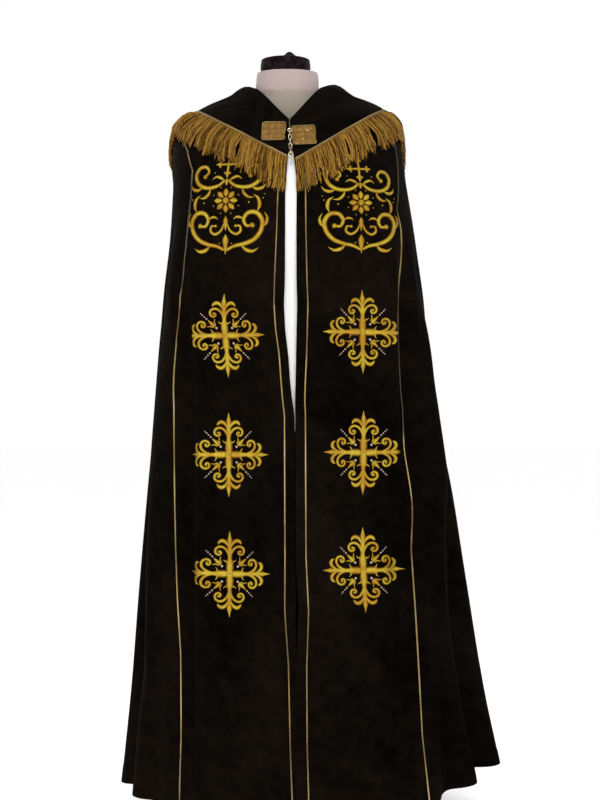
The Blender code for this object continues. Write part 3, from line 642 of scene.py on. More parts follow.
class Shader:
    """One material's node tree. Every node comes from node(), and the surface is one Principled BSDF."""

    def __init__(self, name: str, **constants: Any) -> None:
        """Makes the material.

        Args:
            name: the material's name.
            constants: values of the surface's sockets, with _ for each space in a socket's name.
        """
        self.material = bpy.data.materials.new(name)
        self.material.use_nodes = True
        self.tree = self.material.node_tree
        self.surface = self.tree.nodes["Principled BSDF"]
        for key, value in constants.items():
            self.surface.inputs[key.replace("_", " ")].default_value = value

    def node(
        self, kind: str, settings: ByName | None = None, sockets: ByName | None = None, output: Any = 0
    ) -> Value:
        """Adds a node and returns one of its outputs.

        Args:
            kind: the node's type after "ShaderNode".
            settings: the node's own properties, set first.
            sockets: a value, a colour or a Value for each input, by name or number.
            output: the output that is returned, by name or number.

        Returns:
            The output as a Value.
        """
        made = self.tree.nodes.new("ShaderNode" + kind)
        for key, value in (settings or {}).items():
            setattr(made, key, value)
        for key, value in (sockets or {}).items():
            self.feed(made.inputs[key], value)
        return Value(self, made.outputs[output])

    def feed(self, socket: bpy.types.NodeSocket, value: Any) -> None:
        """Links a Value to a socket, or sets the socket's own value.

        Args:
            socket: the input.
            value: a Value, a number, or a colour of three numbers or four.
        """
        if isinstance(value, Value):
            self.tree.links.new(value.socket, socket)
        elif socket.type == "RGBA" and len(value) == 3:
            socket.default_value = (*value, 1.0)
        else:
            socket.default_value = value

    def dress(
        self, colour: Value, relief: tuple[Value, float, float] | None = None, **sockets: Any
    ) -> bpy.types.Material:
        """Feeds the surface: its colour, a bump from (height, metres, strength), other sockets by name.

        Args:
            colour: the base colour.
            relief: the bump's height, its metres and its strength.
            sockets: other inputs, with _ for each space in a name.

        Returns:
            The material.
        """
        if relief is not None:
            height, distance, strength = relief
            bump = {"Strength": strength, "Distance": distance, "Height": height}
            sockets["Normal"] = self.node("Bump", None, bump, "Normal")
        for key, value in {"Base_Color": colour, **sockets}.items():
            self.feed(self.surface.inputs[key.replace("_", " ")], value)
        return self.material

    def coordinates(self, scale: float | Sequence[float] = 1.0, uv: bool = False) -> Value:
        """The piece's own UV map or its Object coordinates, scaled.

        Args:
            scale: one number, or one for each axis.
            uv: whether the UV map is read.

        Returns:
            The vector.
        """
        source = self.node("TexCoord", output="UV" if uv else "Object")
        sizes = (scale,) * 3 if isinstance(scale, (int, float)) else tuple(scale)
        return self.node("Mapping", None, {"Vector": source, "Scale": sizes})

    def noise(self, vector: Value, scale: float, detail: float = 2.0, roughness: float = 0.5) -> Value:
        """A noise texture's value, from about 0.3 to 0.7."""
        sockets = {"Vector": vector, "Scale": scale, "Detail": detail, "Roughness": roughness}
        return self.node("TexNoise", None, sockets, "Fac")

    def split(self, vector: Value) -> tuple[Value, Value, Value]:
        """The vector's three numbers.

        Args:
            vector: the vector.

        Returns:
            Its x, y and z.
        """
        parts = self.node("SeparateXYZ", None, {0: vector})
        outputs = parts.socket.node.outputs
        return parts, Value(self, outputs[1]), Value(self, outputs[2])

    def mix(self, share: Any, first: Any, second: Any, blend: str = "MIX") -> Value:
        """Two colours mixed by share."""
        settings = {"data_type": "RGBA", "blend_type": blend, "clamp_factor": True}
        return self.node("Mix", settings, {0: share, 6: first, 7: second}, 2)

    def attribute(self, name: str) -> Value:
        """A number stored on the piece's vertices under this name."""
        return self.node("Attribute", {"attribute_name": name}, None, "Fac")


# ---------------------------------------------------------------- finishes


@dataclass(frozen=True)
class BlackCloth:
    """Matt black wool twill: fine diagonal ribs, slubs, and a faint warm bloom where the nap is rubbed."""

    name: str = "black_wool_twill"
    slot: str = "black_cloth"
    deep: Colour = (0.0005, 0.0003, 0.0002)
    bloom: Colour = (0.0066, 0.0044, 0.0028)
    rib_pitch: float = 0.0016

    def make(self) -> bpy.types.Material:
        """Ribs are a sine along the diagonal of the cloth's UV, which is in metres; noise breaks them up.

        Returns:
            The material.
        """
        sheen = {"Sheen_Weight": 0.006, "Sheen_Roughness": 0.42, "Sheen_Tint": (0.62, 0.50, 0.40, 1.0)}
        s = Shader(self.name, Specular_IOR_Level=0.012, **sheen)
        cloth = s.coordinates(uv=True)
        u, v, _ = s.split(cloth)
        slub = s.noise(s.coordinates((240, 1400, 1), uv=True), 1.0, 1.0)
        ribs = (u + v * 0.8).wave(self.rib_pitch, slub * 3.0)
        threads = (v * (TAU / self.rib_pitch * 1.9)).sine() * 0.25
        nap = s.noise(cloth, 34.0, 4.0, 0.62)
        broad = s.noise(s.coordinates((1.0, 0.35, 1.0), uv=True), 5.0, 3.0, 0.55)
        tone = (nap * 0.55 + broad * 0.75 - 0.25) * (0.72 + ribs * 0.28)
        colour = s.mix(tone.step(0.15, 0.75), self.deep, self.bloom)
        height = ribs * 0.6 + threads + nap * 1.1 + slub * 0.4
        return s.dress(colour, (height, 0.0004, 0.55), Roughness=0.80 + nap * 0.18)


@dataclass(frozen=True)
class SatinStitch:
    """Gold thread laid side by side across each shape in yellow and orange-brown, with darker gaps between
    the threads, a painted highlight along each shape's crest and painted shade towards its edges.
    """

    name: str = "gold_satin_stitch"
    slot: str = "gold_thread"
    # pale: the painted highlight on the threads along each shape's crest
    pale: Colour = (0.43, 0.325, 0.036)
    gold: Colour = (0.200, 0.128, 0.004)
    orange: Colour = (0.180, 0.066, 0.0015)
    bead: Colour = (0.340, 0.240, 0.200)
    pitch: float = 0.0009

    def make(self) -> bpy.types.Material:
        """Threads are a sine along each shape's length; the colour goes from a painted highlight on its crest
        to painted shade at its edge.

        Returns:
            The material.
        """
        s = Shader(self.name, Metallic=0.32, Specular_IOR_Level=0.06, Anisotropic=0.35)
        across, along, _ = s.split(s.coordinates(uv=True))
        wander = s.noise(s.coordinates(900.0), 1.0, 1.0)
        threads = (along + across.absolute() * 0.0011).wave(self.pitch, wander * 2.2)
        edge = across.absolute().step(0.35, 1.0)
        patch = s.noise(s.coordinates(38.0), 1.0, 2.0).step(0.42, 0.60)
        tone = s.attribute("tone")
        body = s.mix(patch * 0.80 + tone * 0.70 - 0.20, self.gold, self.orange)
        # painted highlight: pale on the threads, strongest along each shape's crest
        lit = s.mix((1 - edge) * (1 - patch * 0.35) * 0.9 * threads, body, self.pale)
        # painted shade: orange-brown multiplied in towards each shape's edges
        gold = s.mix(edge * 0.80, lit, self.orange, "MULTIPLY")
        colour = s.mix(tone.step(1.4, 1.6), gold, self.bead)
        height = threads * 0.75 + wander * 0.3
        return s.dress(colour, (height, 0.00035, 0.8), Roughness=0.50 - threads * 0.16)


@dataclass(frozen=True)
class GoldPiping:
    """Two-ply gold cord, tarnished in places and rubbed to pale silver in others, with stretches painted
    nearly black as painted shade of folds.
    """

    name: str = "gold_piping_cord"
    slot: str = "gold_piping"
    gold: Colour = (0.43, 0.35, 0.135)
    dull: Colour = (0.17, 0.12, 0.045)
    silver: Colour = (0.56, 0.51, 0.44)
    # the near black of the cord's dark stretches: painted shade
    wear_and_shade: Colour = (0.010, 0.007, 0.004)

    def make(self) -> bpy.types.Material:
        """Fine windings run round each ply, their grooves darkened as painted shade; wear is a slow noise,
        and `tone` says where the cord is painted dark as painted shade of folds.

        Returns:
            The material.
        """
        s = Shader(self.name, Metallic=0.55, Roughness=0.42)
        across, along, _ = s.split(s.coordinates(uv=True))
        winding = along.wave(0.0007, across * TAU)
        rubbed = s.noise(s.coordinates((3.0, 3.0, 7.0)), 1.0, 3.0, 0.6)
        base = s.mix(rubbed.step(0.38, 0.60), self.dull, self.gold)
        colour = s.mix(rubbed.step(0.58, 0.72) * 0.8, base, self.silver)
        shade = s.mix(1 - winding * 0.45, (1.0, 1.0, 1.0), (0.62, 0.55, 0.45))
        bright = s.mix(1.0, colour, shade, "MULTIPLY")
        # painted shade: the stretches that `tone` marks turn nearly black
        return s.dress(s.mix(s.attribute("tone") * 0.88, bright, self.wear_and_shade), (winding, 0.00015, 0.7))


@dataclass(frozen=True)
class FringeThread:
    """Old gold bullion fringe: twisted threads, each strand with its own tone, darker at the root."""

    name: str = "old_gold_fringe"
    slot: str = "gold_thread"
    dark: Colour = (0.012, 0.005, 0.001)
    brown: Colour = (0.078, 0.031, 0.003)
    gold: Colour = (0.420, 0.225, 0.036)

    def make(self) -> bpy.types.Material:
        """Two threads wind round each strand, their ridges 3 mm apart along it, over finer windings, with
        painted shade in the grooves between them.

        Returns:
            The material.
        """
        s = Shader(self.name, Metallic=0.35, Specular_IOR_Level=0.06)
        around, along, _ = s.split(s.coordinates(uv=True))
        helix = along.wave(0.0030, around * (2 * TAU))
        fine = along.wave(0.0010, around * (6 * TAU))
        tone = s.attribute("tone")
        flecks = s.noise(s.coordinates(260.0), 1.0, 1.0)
        base = s.mix((tone * 0.85 + flecks * 0.7 - 0.28).step(0.12, 0.85), self.brown, self.gold)
        # painted shade: the grooves between the windings are darkened
        colour = s.mix((1 - helix) * 0.62 + (1 - fine) * 0.12, base, self.dark)
        height = helix * 0.8 + fine * 0.3
        return s.dress(colour, (height, 0.0004, 0.9), Roughness=0.55 - helix * 0.12)


@dataclass(frozen=True)
class Braid:
    """The fringe's narrow woven heading: slanting threads that change direction along the middle."""

    name: str = "gold_braid_heading"
    slot: str = "gold_thread"
    dark: Colour = (0.055, 0.022, 0.003)
    gold: Colour = (0.200, 0.100, 0.018)

    def make(self) -> bpy.types.Material:
        """A chevron: the sine of the length plus the distance from the middle.

        Returns:
            The material.
        """
        s = Shader(self.name, Metallic=0.30, Roughness=0.48, Specular_IOR_Level=0.15)
        across, along, _ = s.split(s.coordinates(uv=True))
        chevron = (along + across.absolute() * 0.0022).wave(0.0021)
        wear_and_shade = s.noise(s.coordinates(120.0), 1.0, 2.0)
        colour = s.mix(chevron * 0.7 + wear_and_shade * 0.5 - 0.12, self.dark, self.gold)
        return s.dress(colour, (chevron, 0.0004, 0.8))


@dataclass(frozen=True)
class Brocade:
    """Old gold brocade: a small raised lozenge-and-flower weave on a browner ribbed ground."""

    name: str = "gold_brocade"
    slot: str = "brocade"
    ground: Colour = (0.108, 0.052, 0.008)
    figure: Colour = (0.165, 0.088, 0.015)
    shine: Colour = (0.50, 0.36, 0.14)

    def make(self) -> bpy.types.Material:
        """The figure is a product of sines in the plate's UV, in metres, over ribs 0.9 mm apart.

        Returns:
            The material.
        """
        s = Shader(self.name, Metallic=0.25, Roughness=0.55, Specular_IOR_Level=0.20)
        u, v, _ = s.split(s.coordinates(uv=True))
        wave = s.noise(s.coordinates(90.0), 1.0, 2.0)
        slants = ((u + v) * (TAU / 0.0260) + wave * 5.0, (u - v) * (TAU / 0.0260) + wave * 4.0)
        lozenge = slants[0].sine() * slants[1].sine()
        flower = (u * (TAU / 0.0090) + wave * 11.0).sine() * (v * (TAU / 0.0080) + wave * 9.0).sine()
        figure = (lozenge * 0.5 + flower * 0.35 + wave * 1.1 - 0.50).step(-0.30, 0.50)
        ribs = v.wave(0.0009)
        shine = s.noise(s.coordinates(240.0), 1.0, 1.0).step(0.60, 0.70)
        base = s.mix(figure * 0.75, self.ground, self.figure)
        colour = s.mix(shine * figure * 0.7, base, self.shine)
        height = figure * 0.5 + ribs * 0.25 + wave * 0.3
        return s.dress(colour, (height, 0.0004, 0.7))


@dataclass(frozen=True)
class GiltWire:
    """Gilt brass wire, rubbed bright in places and dull in others."""

    name: str = "gilt_wire"
    slot: str = "gilt_metal"
    bright: Colour = (0.58, 0.50, 0.36)
    dull: Colour = (0.20, 0.15, 0.08)

    def make(self) -> bpy.types.Material:
        """A fine noise mixes the two tones and changes the roughness.

        Returns:
            The material.
        """
        s = Shader(self.name, Metallic=1.0)
        wear_and_shade = s.noise(s.coordinates(420.0), 1.0, 3.0)
        colour = s.mix(wear_and_shade.step(0.36, 0.62), self.dull, self.bright)
        return s.dress(colour, (wear_and_shade, 0.0001, 0.4), Roughness=0.42 - wear_and_shade * 0.3)


@dataclass(frozen=True)
class Jersey:
    """Cotton jersey stretched over the form: fine knitted columns, soiled cream at the neck, painted shade
    darkening the neck's lower part, a dark band of painted shade behind the fastening, and white below."""

    name: str = "cream_jersey"
    slot: str = "form_jersey"
    cream: Colour = (0.268, 0.208, 0.197)
    soiled: Colour = (0.205, 0.160, 0.140)
    beige: Colour = (0.205, 0.170, 0.138)
    # shaded: the painted shade at the bottom of the neck, next to the hood
    shaded: Colour = (0.145, 0.125, 0.088)
    # dark: the painted shade behind the fastening
    dark: Colour = (0.030, 0.024, 0.018)
    white: Colour = (0.93, 0.93, 0.92)

    def make(self) -> bpy.types.Material:
        """Knitted columns run down the UV, 1.3 mm apart, each of small arched stitches.

        Returns:
            The material.
        """
        s = Shader(self.name, Sheen_Weight=0.2, Sheen_Roughness=0.5)
        u, v, _ = s.split(s.coordinates(uv=True))
        column = (u * (TAU / 0.0013)).sine()
        stitch = v.wave(0.0011, column * 1.6)
        soil = s.noise(s.coordinates(9.0), 1.0, 4.0, 0.6)
        _, _, z = s.split(s.coordinates())
        neck = s.mix(soil.step(0.42, 0.70) * 0.7 + (1 - stitch) * 0.12, self.cream, self.soiled)
        # painted shade: the neck darkens from beige to the shaded tone towards the hood
        beige = s.mix(z.step(1.395, 1.455), self.shaded, self.beige)
        lower = s.mix(z.step(1.458, 1.466), beige, neck)
        # painted shade: a dark band of jersey behind the fastening, where the slit between the fronts is in
        # shadow
        clasp_slit_shade = s.mix(z.step(1.375, 1.390), self.dark, lower)
        colour = s.mix(z.step(1.322, 1.332), self.white, clasp_slit_shade)
        height = stitch * 0.6 + column * 0.3
        return s.dress(colour, (height, 0.0003, 0.5), Roughness=0.78 + soil * 0.2)


@dataclass(frozen=True)
class CapLacquer:
    """The form's black neck cap: lacquered wood with a faint plum tint, rubbed in patches."""

    name: str = "black_cap_lacquer"
    slot: str = "black_cap"
    black: Colour = (0.0028, 0.0014, 0.0012)
    rubbed: Colour = (0.0130, 0.0075, 0.0105)

    def make(self) -> bpy.types.Material:
        """Fine turning lines run round the cap; noise rubs the tone.

        Returns:
            The material.
        """
        s = Shader(self.name, Specular_IOR_Level=0.025)
        _, _, z = s.split(s.coordinates())
        lines = z.wave(0.0011)
        wear_and_shade = s.noise(s.coordinates(70.0), 1.0, 4.0, 0.65)
        colour = s.mix(wear_and_shade.step(0.42, 0.68), self.black, self.rubbed)
        return s.dress(colour, (lines + wear_and_shade, 0.0001, 0.35), Roughness=0.5 + wear_and_shade * 0.2)


@dataclass(frozen=True)
class StandSteel:
    """Satin steel of the pole and base, with fine brushing and a few dull marks."""

    name: str = "satin_stand_steel"
    slot: str = "stand_metal"
    steel: Colour = (0.32, 0.32, 0.33)
    mark: Colour = (0.20, 0.195, 0.19)

    def make(self) -> bpy.types.Material:
        """Brushing is a noise fifteen times finer up and down than round.

        Returns:
            The material.
        """
        s = Shader(self.name, Metallic=1.0)
        brushing = s.noise(s.coordinates((60.0, 60.0, 900.0)), 1.0, 2.0)
        marks = s.noise(s.coordinates(26.0), 1.0, 4.0, 0.6)
        colour = s.mix(marks.step(0.50, 0.72), self.steel, self.mark)
        return s.dress(colour, (brushing, 0.0001, 0.3), Roughness=0.26 + marks * 0.3)


@dataclass(frozen=True)
class PaleFloor:
    """The plain pale floor."""

    name: str = "pale_floor"
    slot: str = ""

    def make(self) -> bpy.types.Material:
        """Nearly white, with a slight mottling.

        Returns:
            The material.
        """
        s = Shader(self.name, Roughness=0.9)
        mottle = s.noise(s.coordinates(1.5), 1.0, 2.0)
        return s.dress(s.mix(mottle, (0.985, 0.985, 0.985), (0.995, 0.995, 0.995)))


class Finish(Enum):
    """Each finish of the cope and its form."""

    CLOTH = BlackCloth()
    STITCH = SatinStitch()
    PIPING = GoldPiping()
    FRINGE = FringeThread()
    BRAID = Braid()
    BROCADE = Brocade()
    WIRE = GiltWire()
    JERSEY = Jersey()
    CAP = CapLacquer()
    STEEL = StandSteel()
    FLOOR = PaleFloor()

    def material(self) -> bpy.types.Material:
        """The finish's material, made the first time that it is asked for."""
        return bpy.data.materials.get(self.value.name) or self.value.make()


# ---------------------------------------------------------------- meshes


def add_piece(
    name: str,
    points: np.ndarray,
    faces: Iterable[np.ndarray],
    finish: Finish,
    replaced: Sequence[str] = (),
    uv: np.ndarray | None = None,
    tone: np.ndarray | None = None,
    sharp: float = 60.0,
) -> bpy.types.Object:
    """Makes one piece from its points and faces, dresses it and lets it ride on the body.

    Args:
        name: the piece's name.
        points: its points, n x 3.
        faces: arrays of point numbers, one row for each face; an array holds faces of one size.
        finish: what it is made of.
        replaced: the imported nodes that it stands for.
        uv: two numbers for each point.
        tone: a number for each point, which the finish may read.
        sharp: the angle between faces, in degrees, from which an edge is drawn sharp.

    Returns:
        The object.
    """
    faces = [np.asarray(f) for f in faces]
    loops = np.concatenate([f.ravel() for f in faces]).astype(np.int32)
    sizes = np.concatenate([np.full(len(f), f.shape[1]) for f in faces])
    mesh = bpy.data.meshes.new(name)
    mesh.vertices.add(len(points))
    mesh.vertices.foreach_set("co", np.asarray(points, np.float32).ravel())
    mesh.loops.add(len(loops))
    mesh.loops.foreach_set("vertex_index", loops)
    mesh.polygons.add(len(sizes))
    mesh.polygons.foreach_set("loop_start", np.concatenate([[0], np.cumsum(sizes)[:-1]]).astype(np.int32))
    mesh.update(calc_edges=True)
    if uv is not None:
        layer = mesh.uv_layers.new(name="UVMap")
        layer.data.foreach_set("uv", np.asarray(uv, np.float32)[loops].ravel())
    if tone is not None:
        stored = mesh.attributes.new("tone", "FLOAT", "POINT")
        stored.data.foreach_set("value", np.asarray(tone, np.float32).ravel())
    mesh.validate()
    mesh.shade_smooth()
    mesh.set_sharp_from_angle(angle=math.radians(sharp))
    mesh.materials.append(finish.material())
    piece = bpy.data.objects.new(name, mesh)
    bpy.context.scene.collection.objects.link(piece)
    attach(piece, BODY)
    if replaced:
        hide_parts(*replaced)
    LOG.info("%s: %d points, %d faces", name, len(points), len(sizes))
    return piece


def grid_faces(rows: int, columns: int, around: bool = False) -> np.ndarray:
    """The quads of a grid of rows x columns points, closed round its columns where `around` is set.

    Args:
        rows: the grid's rows.
        columns: the grid's columns.
        around: whether the last column meets the first.

    Returns:
        The point numbers, four for each quad.
    """
    index = np.arange(rows * columns).reshape(rows, columns)
    beside = np.roll(index, -1, axis=1) if around else index[:, 1:]
    here = index if around else index[:, :-1]
    return np.stack([here[:-1], beside[:-1], beside[1:], here[1:]], axis=-1).reshape(-1, 4)


def shell(outer: np.ndarray, inner: np.ndarray) -> tuple[np.ndarray, list[np.ndarray]]:
    """The points and quads of a closed wall between two grids of the same size.

    The inner grid's quads are turned round and split along the same diagonal, and a strip of quads
    closes the rim.

    Args:
        outer: the outer grid, rows x columns x 3.
        inner: the inner grid.

    Returns:
        The points, and the arrays of quads.
    """
    rows, columns = outer.shape[:2]
    behind = rows * columns
    quads = grid_faces(rows, columns)
    index = np.arange(behind).reshape(rows, columns)
    rim = np.concatenate([index[0, :-1], index[:-1, -1], index[-1, :0:-1], index[:0:-1, 0]])
    after = np.roll(rim, -1)
    edge = np.stack([after, rim, rim + behind, after + behind], axis=-1)
    points = np.concatenate([outer.reshape(-1, 3), inner.reshape(-1, 3)])
    return points, [quads, quads[:, [0, 3, 2, 1]] + behind, edge]


def tube_faces(count: int, rows: int, sides: int) -> list[np.ndarray]:
    """The faces of `count` closed tubes, each of rows x sides points: their walls and both ends.

    Args:
        count: how many tubes there are.
        rows: how many rings each has.
        sides: how many points a ring has.

    Returns:
        The quads of the walls, then the faces at both ends.
    """
    start = (np.arange(count) * rows * sides)[:, None, None]
    walls = (grid_faces(rows, sides, around=True)[None] + start).reshape(-1, 4)
    ring = np.arange(sides)
    first = start[:, 0] + ring[None, ::-1]
    last = start[:, 0] + (rows - 1) * sides + ring[None, :]
    return [walls, first, last]


def tube_rings(path: np.ndarray, outward: np.ndarray, radius: Any, sides: int) -> np.ndarray:
    """Rings of points round paths: path + radius (cos a aside + sin a outward), a from 0 to a full turn.

    Args:
        path: the paths' points, ... x rows x 3.
        outward: a direction for each point, which is made square to the path.
        radius: the rings' radius, a number or ... x rows.
        sides: how many points a ring has.

    Returns:
        The points, ... x rows x sides x 3, wound so that the tube's walls face out.
    """
    along = unit(np.gradient(path, axis=-2))
    aside = unit(np.cross(outward, along))
    outward = np.cross(along, aside)
    angle = TAU * shares(sides)
    radius = np.asarray(radius, float)[..., None]
    across = (radius * np.cos(angle))[..., None] * aside[..., None, :]
    upward = (radius * np.sin(angle))[..., None] * outward[..., None, :]
    return path[..., None, :] + across + upward


def add_tubes(
    name: str, rings: np.ndarray, finish: Finish, replaced: Sequence[str] = (),
    uv: tuple[Any, Any] | None = None, tone: Any = None, sharp: float = 60.0,
) -> bpy.types.Object:
    """Makes one piece of closed tubes.

    Args:
        name: the piece's name.
        rings: the points, (tubes x) rows x sides x 3.
        finish: what it is made of.
        replaced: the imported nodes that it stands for.
        uv: how far round and how far along each point lies, of any shape that spreads over the rings.
        tone: a number for each point, spread in the same way.
        sharp: the angle between faces, in degrees, from which an edge is drawn sharp.

    Returns:
        The object.
    """
    rows, sides = rings.shape[-3:-1]
    faces = tube_faces(rings.size // (3 * rows * sides), rows, sides)
    if uv is not None:
        pairs = np.stack(np.broadcast_arrays(*uv), axis=-1)
        uv = np.broadcast_to(pairs, (*rings.shape[:-1], 2)).reshape(-1, 2)
    if tone is not None:
        tone = np.broadcast_to(tone, rings.shape[:-1])
    return add_piece(name, rings.reshape(-1, 3), faces, finish, replaced, uv, tone, sharp)


def two_plies(
    path: np.ndarray, outward: np.ndarray, turn: np.ndarray, offset: float, radius: float
) -> np.ndarray:
    """The rings of two round plies that circle a path: its points plus offset (cos t aside + sin t outward).

    Args:
        path: the cord's own path.
        outward: a direction for each of its points.
        turn: t for the first ply; the second is half a turn further.
        offset: how far a ply's middle lies from the path.
        radius: a ply's radius.

    Returns:
        The points, 2 x rows x PLY_SIDES x 3.
    """
    turn = turn + np.array([[0.0], [math.pi]])
    ahead = unit(np.gradient(path, axis=0))
    aside = unit(np.cross(ahead, outward))
    outward = np.cross(aside, ahead)
    plies = path + offset * (np.cos(turn)[..., None] * aside + np.sin(turn)[..., None] * outward)
    return tube_rings(plies, np.broadcast_to(outward, plies.shape), radius, PLY_SIDES)


def add_turned(
    node: str, finish: Finish, profile: Rows, middle: tuple[float, float], sides: int, sharp: float
) -> None:
    """Makes the piece for a node that is turned about the vertical: one ring for each (radius, height).

    Args:
        node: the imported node.
        finish: what it is made of.
        profile: (radius, height) from one end to the other.
        middle: the axis's x and y.
        sides: how many points a ring has.
        sharp: the angle between faces, in degrees, from which an edge is drawn sharp.
    """
    angle = TAU * shares(sides)
    radius, height = np.array(profile).T
    x = middle[0] + radius[:, None] * np.cos(angle)
    y = middle[1] + radius[:, None] * np.sin(angle)
    rings = np.stack([x, y, np.repeat(height[:, None], sides, axis=1)], axis=-1)
    suffix = "_lacquer" if finish is Finish.CAP else "_steel"
    add_tubes(node + suffix, rings, finish, [node], sharp=sharp)


def rounded(profile: Rows, steps: int) -> Rows:
    """A profile with `steps` points between each two, on a smooth curve through them.

    Args:
        profile: (radius, height) points.
        steps: how many steps lie between two of them.

    Returns:
        The finer profile.
    """
    corners = np.array(profile)
    along = np.concatenate([[0], np.cumsum(np.linalg.norm(np.diff(corners, axis=0), axis=1))])
    at = np.interp(np.arange((len(corners) - 1) * steps + 1) / steps, np.arange(len(corners)), along)
    return tuple(zip(smooth(along, corners[:, 0], at), smooth(along, corners[:, 1], at)))


def shares(count: int) -> np.ndarray:
    """The shares 0, 1/count, 2/count and so on of a turn."""
    return np.arange(count) / count


def length_along(path: np.ndarray) -> np.ndarray:
    """How far along the path each point lies, the path's rows being its last axis but one."""
    steps = np.linalg.norm(np.diff(path, axis=-2), axis=-1)
    return np.concatenate([np.zeros((*steps.shape[:-1], 1)), np.cumsum(steps, axis=-1)], axis=-1)


def even_levels(counts_and_ends: Rows) -> np.ndarray:
    """Levels from the neckline down: each (count, end) adds that many even steps down to end.

    Args:
        counts_and_ends: the counts and ends, from the top down.

    Returns:
        The levels.
    """
    levels = [NECKLINE]
    for count, end in counts_and_ends:
        levels += list(np.linspace(levels[-1], end, count + 1)[1:])
    return np.array(levels)


# ---------------------------------------------------------------- cloth


@dataclass
class Panel:
    """One cut of the cope between two seams, with a turned-up hem."""

    name: str
    start: float
    end: float
    columns: int
    flat: tuple[float, float]
    area: float
    crowd: float = 0.0  # how far the columns crowd to the two seams, from 0 to 1
    hem_width: float = 0.028
    hem_lift: float = 0.0008
    rows: Rows = ((8, 1.33), (18, 1.20), (90, 0.104), (2, 0.098), (3, 0.068))

    def build(self, drape: Drape) -> bpy.types.Object:
        """A closed wall: the drape between the seams outside, and the same grid 2 mm in inside.

        Args:
            drape: the cope's outer face.

        Returns:
            The object.
        """
        share = np.linspace(0, 1, self.columns)
        share = share - self.crowd * np.sin(TAU * share) / TAU
        levels = even_levels(self.rows)
        level = np.repeat(levels[:, None], self.columns, axis=1)
        first_gap = SEAM_GAP / 2 if self.start > 0 else 0.0
        last_gap = SEAM_GAP / 2 if self.end < LAST_SEAM else 0.0
        first = drape.sideways(seam_place(self.start, levels), levels, first_gap)
        last = drape.sideways(seam_place(self.end, levels) - BEFORE_SEAM, levels, -last_gap)
        place = first[:, None] + (last - first)[:, None] * share
        hem = self.hem_lift * ramp((HEM + self.hem_width + 0.006 - level) / 0.006)
        points, faces = shell(drape.point(place, level, hem), drape.point(place, level, -WALL))
        uv = drape.cloth_uv(place, level).reshape(-1, 2)
        piece = add_piece(self.name + "_cloth", points, faces, Finish.CLOTH, [self.name], np.tile(uv, (2, 1)))
        return piece


@dataclass
class Hood:
    """The hood over the shoulders and the top of the back, with a rolled neckline and its own soft folds."""

    columns: int = 380
    rows: int = 46
    crowd: float = 0.35
    flat: tuple[float, float] = (1.22, 0.42)
    area: float = 0.300
    # Each fold runs from (share, down) to (share, down); then its half width as a share, and its height.
    folds: Rows = (
        (0.045, 0.10, 0.150, 0.85, 0.030, 0.0016),
        (0.120, 0.05, 0.200, 0.80, 0.022, -0.0016),
        (0.230, 0.15, 0.300, 0.95, 0.020, 0.0030),
        (0.300, 0.20, 0.345, 0.95, 0.016, -0.0020),
        (0.380, 0.10, 0.410, 0.90, 0.024, 0.0034),
        (0.450, 0.25, 0.462, 1.00, 0.020, -0.0022),
        (0.520, 0.15, 0.512, 0.95, 0.026, 0.0030),
        (0.575, 0.20, 0.560, 0.95, 0.018, -0.0020),
        (0.640, 0.10, 0.600, 0.90, 0.022, 0.0032),
        (0.720, 0.20, 0.670, 0.95, 0.018, -0.0022),
        (0.780, 0.10, 0.740, 0.90, 0.022, 0.0028),
        (0.870, 0.05, 0.800, 0.80, 0.022, -0.0014),
        (0.950, 0.10, 0.860, 0.85, 0.030, 0.0015),
    )

    def lifts(self, share: np.ndarray, down: np.ndarray) -> np.ndarray:
        """The folds' height at each (share, down): humps across slanting lines, none at the hood's edges.

        Args:
            share: shares of the way round.
            down: shares of the way from the neckline to the edge.

        Returns:
            The heights.
        """
        out = np.zeros(np.broadcast_shapes(share.shape, down.shape))
        for share_a, down_a, share_b, down_b, half_width, height in self.folds:
            t = (down - down_a) / (down_b - down_a)
            line = share_a + (share_b - share_a) * t
            out += height * hump(1.4 * (t - 0.5)) * hump((share - line) / half_width)
        return np.maximum(out, -0.0024) * ramp(down / 0.12) * ramp((1 - down) / 0.15)

    def build(self, drape: Drape) -> bpy.types.Object:
        """A closed wall over the cope: rows are even shares of the fall from the neckline to the edge.

        Args:
            drape: the cope's outer face.

        Returns:
            The object.
        """
        share = np.linspace(0, 1, self.columns)
        share = share - self.crowd * np.sin(TAU * share) / TAU
        place = drape.share_place(share)
        place[:1] = drape.sideways(place[:1], HOOD_LINE[0][1], 2 * SEAM_GAP)
        place[-1:] = drape.sideways(place[-1:] - BEFORE_SEAM, HOOD_LINE[-1][1], -2 * SEAM_GAP)
        fall = drape.read(drape.falls, place, hood_edge(share))
        down = np.linspace(0, 1, self.rows)[:, None]
        place = np.repeat(place[None, :], self.rows, axis=0)
        level = drape.lower(place, NECKLINE, down * fall)
        lift = HOOD_LIFT + WALL + self.lifts(share[None, :], down)
        outer = drape.point(place, level, lift)
        points, faces = shell(outer, drape.point(place, level, lift - WALL))
        uv = np.tile(drape.cloth_uv(place, level).reshape(-1, 2), (2, 1))
        piece = add_piece("hood_cloth", points, faces, Finish.CLOTH, ["hood"], uv)
        return piece


def hood_edge(share: Any) -> np.ndarray:
    """The level of the hood's edge: a ring at the front, dropping by a hump to a point at the back.

    Args:
        share: shares of the way round.

    Returns:
        The levels.
    """
    t = np.abs(np.asarray(share) - 0.5) / (0.5 - HOOD_TURN)
    ring = np.interp(share, *zip(*HOOD_LINE))
    return ring - (ring - HOOD_BACK_EDGE) * hump(t) ** 0.8


